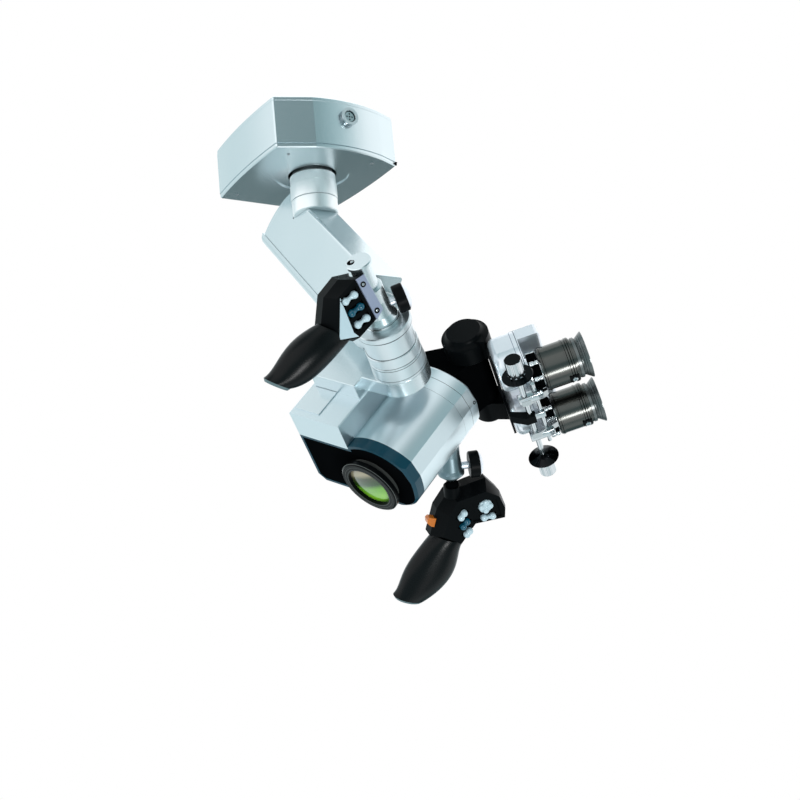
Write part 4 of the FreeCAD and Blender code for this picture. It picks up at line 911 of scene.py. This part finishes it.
@dataclass
class Binocular(Assembly):
    """Inclinable binocular tube."""

    @staticmethod
    def knob_frame() -> Matrix:
        """Frame of the lower clamp wheel: Z out of the post.

        Returns:
            The wheel's frame.
        """
        lean, turn = math.radians(20), math.radians(45)
        upward = Vector((0, math.sin(lean), math.cos(lean)))
        away = Vector((1, 0, 0)) * math.cos(turn) + upward * math.sin(turn)
        frame = LAYOUT.head()
        hub = LAYOUT.post() @ Vector((0, 0, 18 * MM))
        turned = Vector((0, 0, 1)).rotation_difference(frame.to_3x3() @ away).to_matrix().to_4x4()
        return Matrix.Translation(hub) @ turned

    @staticmethod
    def sight(side: int) -> Matrix:
        """Frame on one eyepiece's axis: Z along the sight, X downwards."""
        return aimed(LAYOUT.tube(), (0, side * 36, -72), (1, 0, 0))

    def carriage(self, name: str, side: int) -> None:
        """Bright block that rides on the spindle and the guide rod, with its pinch screw.

        Args:
            name: left or right.
            side: -1 for left and 1 for right.
        """
        rails = aimed(LAYOUT.tube(), (40, 0, -101), (0, 1, 0))
        block = Clay(name + "_carriage")
        block.block((29, 10.5, 8.8), (7, -0.6, side * 29.6), 1.1, 3)
        block.drilled(3.6, (0, 0), 60)
        block.drilled(3.0, (13, -2), 60)
        self.add(block, rails, name + "_tube", "socket_chrome")
        screw = Clay(name + "_pinch_screw")
        screw.turned([(2.4, 0), (2.6, 0.3), (2.6, 1.6), (2.2, 2.0), (1.3, 2.0), (1.2, 1.2)], 32)
        self.add(screw, aimed(rails, (18, 4.6, side * 29.6), (0, 1, 0)), name + "_tube", "bearing_steel")

    def mount(self, name: str, side: int) -> None:
        """Ribbed collar with bright studs where an eyepiece joins its prism cover.

        Args:
            name: left or right.
            side: -1 for left and 1 for right.
        """
        sight = self.sight(side)
        collar = Clay(name + "_mount_collar")
        collar.turned([(18.6, 55.5), (20.2, 56), (20.2, 58.4), (19.4, 58.8), (19.4, 61.2), (21.6, 61.8),
                       (21.6, 66.6), (21, 67.2)], 72)
        for number in range(12):
            angle = math.radians(30 * number)
            collar.turned([(1.5, 56.4), (1.7, 56.8), (1.7, 60.8), (1.4, 61.4)], 16,
                          (20.6 * math.cos(angle), 20.6 * math.sin(angle)))
        self.add(collar, sight, name + "_tube", "black_anodised")
        studs = Clay(name + "_mount_studs")
        for degrees in (-66, -22, 22, 66, 156, 204):
            angle = math.radians(degrees)
            studs.turned([(2.3, 57), (2.8, 57.4), (2.8, 61.6), (1.9, 62), (1.9, 63), (2.6, 63.2), (2.6, 66.4),
                          (2.2, 66.8)], 28, (23.2 * math.cos(angle), 23.2 * math.sin(angle)))
        self.add(studs, sight, name + "_tube", "socket_chrome")

    def dioptre(self, name: str, side: int) -> None:
        """Turned rings and the locking screw of an eyepiece.

        Args:
            name: left or right.
            side: -1 for left and 1 for right.
        """
        sight = self.sight(side)
        rings = Clay(name + "_dioptre_rings")
        rings.turned([(24.2, 70.2), (25.3, 70.6), (25.3, 73.4), (24.2, 73.8)], 96)
        rings.turned([(24.2, 96.4), (25.2, 96.7), (25.2, 98.6), (24.2, 98.9)], 96)
        rings.turned([(24.2, 101.6), (25.4, 102), (25.4, 105.6), (24.2, 106)], 96)
        self.add(rings, sight, name + "_eye", "eyepiece")
        lean = Matrix.Rotation(math.radians(12), 4, "Z")
        frame = aimed(sight @ lean, (23.6, 0, 100), (1, 0, 0))
        seat = Clay(name + "_lock_seat")
        seat.block((11, 8.4, 3.0), (0, 0, 1.3), 0.7)
        seat.block((4.2, 10.4, 2.2), (-3.6, 0, 1.0), 0.5)
        self.add(seat, frame, name + "_eye", "black_satin")
        screw = Clay(name + "_lock_screw")
        screw.turned([(2.7, 2.4), (3.0, 2.8), (3.0, 4.2), (2.6, 4.7), (1.5, 4.7), (1.4, 3.7)], 32)
        self.add(screw, frame, name + "_eye", "socket_chrome")

    def build(self) -> None:
        """Model the guide rod, carriages, mounts and dioptre fittings."""
        rails = aimed(LAYOUT.tube(), (40, 0, -101), (0, 1, 0))
        rod = Clay("guide_rod")
        rod.turned([(2.1, -46), (2.5, -45.5), (2.5, 45.5), (2.1, 46)], 40, (13, -2))
        rod.block((15, 9, 8.4), (9.5, -1.4, 0), 1.0, 3)
        self.add(rod, rails, "tilt", "socket_chrome")
        for name, side in (("left", -1), ("right", 1)):
            self.carriage(name, side)
            self.mount(name, side)
            self.dioptre(name, side)

    def dress_nodes(self, nodes: dict) -> None:
        """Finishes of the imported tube."""
        self.dress(nodes, {"tube_adapter": "black_anodised", "hinge_base": "black_anodised",
                           "tilt_carrier": "black_satin", "hinge_pin": "bearing_steel",
                           "spacing_spindle": "spindle"})
        for side in ("left", "right"):
            self.dress(nodes, {side + "_prism_housing": "prism_cover", side + "_eyepiece": "eyepiece",
                               side + "_ocular": "clear_glass", side + "_eyecup": "eyecup_rubber"})


@dataclass
class Handles(Assembly):
    """Both control handles."""

    # key, x, y, angle in degrees, length, finish, and for the lower keys the height
    UPPER_KEYS = (("one", 5.5, -36.5, -32, 20, "key_white"), ("two", 14, -24.5, -32, 20, "key_blue"),
                  ("three", 22.5, -12.5, -32, 20, "key_white"))
    LOWER_KEYS = (("one", 28.6, 52.5, 110, 19, "key_white", 13.4), ("two", 30, 18, -17, 14.5, "key_white", 15),
                  ("three", 41, 25, -19, 15.5, "key_blue", 15), ("four", 51.5, 33, -22, 13.5, "key_white", 15))

    def rocker(self, name: str, frame: Matrix, length: float, body: str, finish: str) -> None:
        """Rocker key with a round lobe at either end and a narrow waist.

        Args:
            name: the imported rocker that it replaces.
            frame: frame of the key.
            length: length of the key.
            body: body that it rides on.
            finish: name of its material.
        """
        key = Clay(name + "_lobes")
        reach = length / 2 - 4.1
        key.block((2 * reach, 4.2, 4.6), (0, 0, 0.1), 1.2)
        for end in (-1, 1):
            key.turned([(3.8, -2.3), (4.1, -1.9), (4.1, 1.4), (3.9, 2.8), (3.2, 4.0), (2.0, 4.8), (0.8, 5.1)], 28,
                       (end * reach, 0))
            key.turned([(2.3, -2.0), (2.5, -1.6), (2.5, 1.8), (2.1, 3.0), (1.2, 3.6)], 24, (end * reach * 0.42, 0))
        key.melted(0.42)
        self.add(key, frame, body, finish, (name,))

    def build(self) -> None:
        """Model the keys, the pad and the two screws of the clamp plate."""
        frame = LAYOUT.upper_handle()
        for number, (x, y) in enumerate(((-13, -31), (6, -4)), start=1):
            washer = Clay("plate_cup_%d" % number)
            washer.turned([(2.9, -0.8), (3.1, 0.3), (2.8, 0.55), (2.1, 0.5), (2.0, -0.4)], 40)
            self.add(washer, shifted(frame, x, y, 17.2), "upper_handle", "black_satin")
            screw = Clay("plate_screw_%d" % number)
            screw.turned([(1.5, -0.6), (1.5, 0.3), (1.1, 0.7), (0.4, 0.85)], 32)
            self.add(screw, shifted(frame, x, y, 17.2), "upper_handle", "socket_chrome")
        for key, x, y, angle, length, finish in self.UPPER_KEYS:
            spot = shifted(frame, x, y, 12) @ Matrix.Rotation(math.radians(angle), 4, "Z")
            self.rocker("upper_rocker_" + key, spot, length, "upper_key_" + key, finish)
        frame = LAYOUT.lower_handle()
        for key, x, y, angle, length, finish, height in self.LOWER_KEYS:
            spot = shifted(frame, x, y, height) @ Matrix.Rotation(math.radians(angle), 4, "Z")
            self.rocker("lower_rocker_" + key, spot, length, "lower_key_" + key, finish)
        pad = Clay("lower_pad_lobes")
        pad.turned([(8.2, -2.3), (8.6, -1.8), (8.6, 0.2), (8.1, 0.8)], 56)
        for turn in range(4):
            angle = math.radians(90 * turn + 20)
            pad.turned([(3.6, -2.0), (3.9, -1.6), (3.9, 1.2), (3.6, 2.5), (2.8, 3.4), (1.6, 3.9), (0.6, 4.05)], 28,
                       (5.3 * math.cos(angle), 5.3 * math.sin(angle)))
        pad.turned([(1.9, 0), (1.9, 2.2), (1.4, 2.9), (0.6, 3.2)], 24)
        pad.melted(0.42)
        self.add(pad, shifted(frame, 15.5, 44.5, 13.4), "lower_pad", "key_white", ("lower_pad",))

    def dress_nodes(self, nodes: dict) -> None:
        """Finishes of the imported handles."""
        self.dress(nodes, {"upper_sleeve": "silver_paint", "upper_clamp_knob": "knob_upper",
                           "upper_control_head": "black_satin", "upper_clamp_plate": "plate_lilac",
                           "upper_bezel": "key_white", "upper_grip": "upper_grip",
                           "upper_grip_cap": "upper_cap", "lower_control_head": "black_satin",
                           "lower_grip": "lower_grip", "lower_grip_cap": "lower_cap", "lower_pad": "key_white",
                           "lower_trigger": "trigger_orange", "upper_rocker_one": "key_white",
                           "upper_rocker_two": "key_blue", "upper_rocker_three": "key_white",
                           "lower_rocker_one": "key_white", "lower_rocker_two": "key_white",
                           "lower_rocker_three": "key_blue", "lower_rocker_four": "key_white"})


# Picture
FLOOR = ((0.0, 0.45), (0.13, 0.8), (0.20, 1.2), (0.29, 1.2), (0.335, 0.6), (0.45, 0.9), (0.75, 1.2), (1.0, 0.45))
LOW_WALL = ((0.0, 0.65), (0.1, 0.60), (0.2, 0.50), (0.34, 0.35), (0.40, 0.35), (0.46, 1.2), (0.555, 0.80),
            (0.60, 0.36), (0.64, 0.14), (0.69, 0.22), (0.75, 0.95), (0.83, 0.85), (0.92, 0.70), (1.0, 0.65))
MID_WALL = ((0.0, 1.20), (0.07, 1.25), (0.115, 1.20), (0.175, 0.85), (0.222, 0.20), (0.262, 0.40), (0.305, 0.58),
            (0.345, 0.76), (0.40, 1.15), (0.47, 1.20), (0.53, 1.2), (0.66, 1.15), (0.73, 1.0), (0.82, 0.82),
            (0.87, 1.15), (0.92, 1.25), (1.0, 1.20))
HIGH_WALL = ((0.0, 0.50), (0.06, 0.45), (0.12, 0.90), (0.2, 1.05), (0.3, 1.05), (0.45, 1.05), (0.54, 1.3),
             (0.67, 1.3), (0.70, 0.95), (0.74, 1.1), (0.82, 0.9), (0.87, 1.1), (0.92, 1.25), (1.0, 0.50))


def wall_tone(level: float) -> tuple:
    """Colour of a wall: the darker it is, the more it turns to teal.

    Args:
        level: how bright the wall is.

    Returns:
        Linear colour with its alpha.
    """
    level = level ** 1.35
    share = min(1.0, level / 1.1)
    return (level * (0.52 + 0.46 * share), level * (1.10 - 0.09 * share), level * (1.18 - 0.16 * share), 1)


def wall_group() -> bpy.types.NodeTree:
    """Node group with the tone of the studio in a direction: four ramps round the object, by height.

    Returns:
        The node group.
    """
    group = bpy.data.node_groups.new("studio_walls", "ShaderNodeTree")
    group.interface.new_socket("Direction", in_out="INPUT", socket_type="NodeSocketVector")
    group.interface.new_socket("Tone", in_out="OUTPUT", socket_type="NodeSocketColor")
    nodes, links = group.nodes, group.links
    start = nodes.new("NodeGroupInput")
    end = nodes.new("NodeGroupOutput")
    split = nodes.new("ShaderNodeSeparateXYZ")
    links.new(start.outputs["Direction"], split.inputs[0])
    turn = nodes.new("ShaderNodeMath")
    turn.operation = "ARCTAN2"
    links.new(split.outputs["Y"], turn.inputs[0])
    links.new(split.outputs["X"], turn.inputs[1])
    share = nodes.new("ShaderNodeMath")
    share.operation = "MULTIPLY_ADD"
    share.inputs[1].default_value = 0.5 / math.pi
    share.inputs[2].default_value = 0.5
    links.new(turn.outputs[0], share.inputs[0])
    tones = []
    for wall in (LOW_WALL, MID_WALL, HIGH_WALL, FLOOR):
        ramp = nodes.new("ShaderNodeValToRGB")
        ramp.color_ramp.elements[0].color = wall_tone(wall[0][1])
        ramp.color_ramp.elements[1].color = wall_tone(wall[-1][1])
        for spot, level in wall[1:-1]:
            ramp.color_ramp.elements.new(spot).color = wall_tone(level)
        links.new(share.outputs[0], ramp.inputs["Fac"])
        tones.append(ramp.outputs["Color"])
    tone = tones[1]
    for low, high, other in ((-0.10, -0.32, tones[0]), (0.58, 0.74, tones[2]), (-0.74, -0.88, tones[3])):
        rise = nodes.new("ShaderNodeMapRange")
        rise.interpolation_type = "SMOOTHSTEP"
        rise.inputs["From Min"].default_value = low
        rise.inputs["From Max"].default_value = high
        links.new(split.outputs["Z"], rise.inputs["Value"])
        mix = nodes.new("ShaderNodeMix")
        mix.data_type = "RGBA"
        links.new(rise.outputs["Result"], mix.inputs["Factor"])
        links.new(tone, mix.inputs["A"])
        links.new(other, mix.inputs["B"])
        tone = mix.outputs["Result"]
    links.new(tone, end.inputs["Tone"])
    return group


def pale_world() -> None:
    """White behind the object, and a room of pale and dark walls for what it reflects."""
    world = bpy.data.worlds.new("studio")
    bpy.context.scene.world = world
    world.use_nodes = True
    nodes, links = world.node_tree.nodes, world.node_tree.links
    nodes.clear()
    out = nodes.new("ShaderNodeOutputWorld")
    seen = nodes.new("ShaderNodeBackground")
    seen.inputs["Color"].default_value = (1, 1, 1, 1)
    room = nodes.new("ShaderNodeBackground")
    room.inputs["Strength"].default_value = 1.0
    pick = nodes.new("ShaderNodeMixShader")
    path = nodes.new("ShaderNodeLightPath")
    place = nodes.new("ShaderNodeTexCoord")
    walls = nodes.new("ShaderNodeGroup")
    walls.node_tree = wall_group()
    links.new(place.outputs["Generated"], walls.inputs["Direction"])
    links.new(walls.outputs["Tone"], room.inputs["Color"])
    links.new(path.outputs["Is Camera Ray"], pick.inputs["Fac"])
    links.new(room.outputs[0], pick.inputs[1])
    links.new(seen.outputs[0], pick.inputs[2])
    links.new(pick.outputs[0], out.inputs["Surface"])


def lamp(name: str, spot: tuple, target: tuple, size: float, watts: float) -> None:
    """Square area light aimed at a point, lengths in metres.

    Args:
        name: name of the lamp.
        spot: where it stands.
        target: point that it faces.
        size: length of its side.
        watts: its power.
    """
    data = bpy.data.lights.new(name, "AREA")
    data.size = size
    data.energy = watts
    item = bpy.data.objects.new(name, data)
    bpy.context.scene.collection.objects.link(item)
    item.location = spot
    item.rotation_mode = "QUATERNION"
    item.rotation_quaternion = (Vector(target) - Vector(spot)).to_track_quat("-Z", "Y")


# Fitted to the photo, in metres
CAMERA_PLACE = (-0.80508, -1.34141, -0.71160)
CAMERA_RIGHT = (0.8393, -0.5353, -0.0957)
CAMERA_UP = (-0.0445, -0.2431, 0.9690)
CAMERA_LENS_MM = 63.0
LAMP_PLACE = (-0.10, -1.25, -1.47)
LAMP_TARGET = (0.05, -0.1, -0.38)
LAMP_SIZE = 0.28
LAMP_WATTS = 9


def studio() -> None:
    """Lights and the camera that was fitted to the photo."""
    pale_world()
    lamp("low", LAMP_PLACE, LAMP_TARGET, LAMP_SIZE, LAMP_WATTS)
    data = bpy.data.cameras.new("camera")
    data.lens = CAMERA_LENS_MM
    data.sensor_width = 36.0
    data.clip_end = 20.0
    item = bpy.data.objects.new("camera", data)
    bpy.context.scene.collection.objects.link(item)
    right = Vector(CAMERA_RIGHT).normalized()
    up = Vector(CAMERA_UP)
    up = (up - right * up.dot(right)).normalized()
    turn = Matrix((right, up, right.cross(up))).transposed().to_4x4()
    item.matrix_world = Matrix.Translation(CAMERA_PLACE) @ turn
    bpy.context.scene.camera = item
    bpy.context.scene.view_settings.view_transform = "Standard"


def main() -> None:
    """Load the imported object, dress it and set the picture."""
    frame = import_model()
    SLOTS.update(item["slot"] for item in frame["record"]["materials"])
    palette = Palette()
    for group in (CeilingBox(palette), Arm(palette), OpticsBody(palette), Binocular(palette), Handles(palette)):
        group.build()
        group.dress_nodes(frame["nodes"])
        LOG.info("%s: %d pieces", type(group).__name__, len(group.made))
    studio()


if __name__ == "__main__":
    logging.basicConfig(level=logging.INFO)
    main()
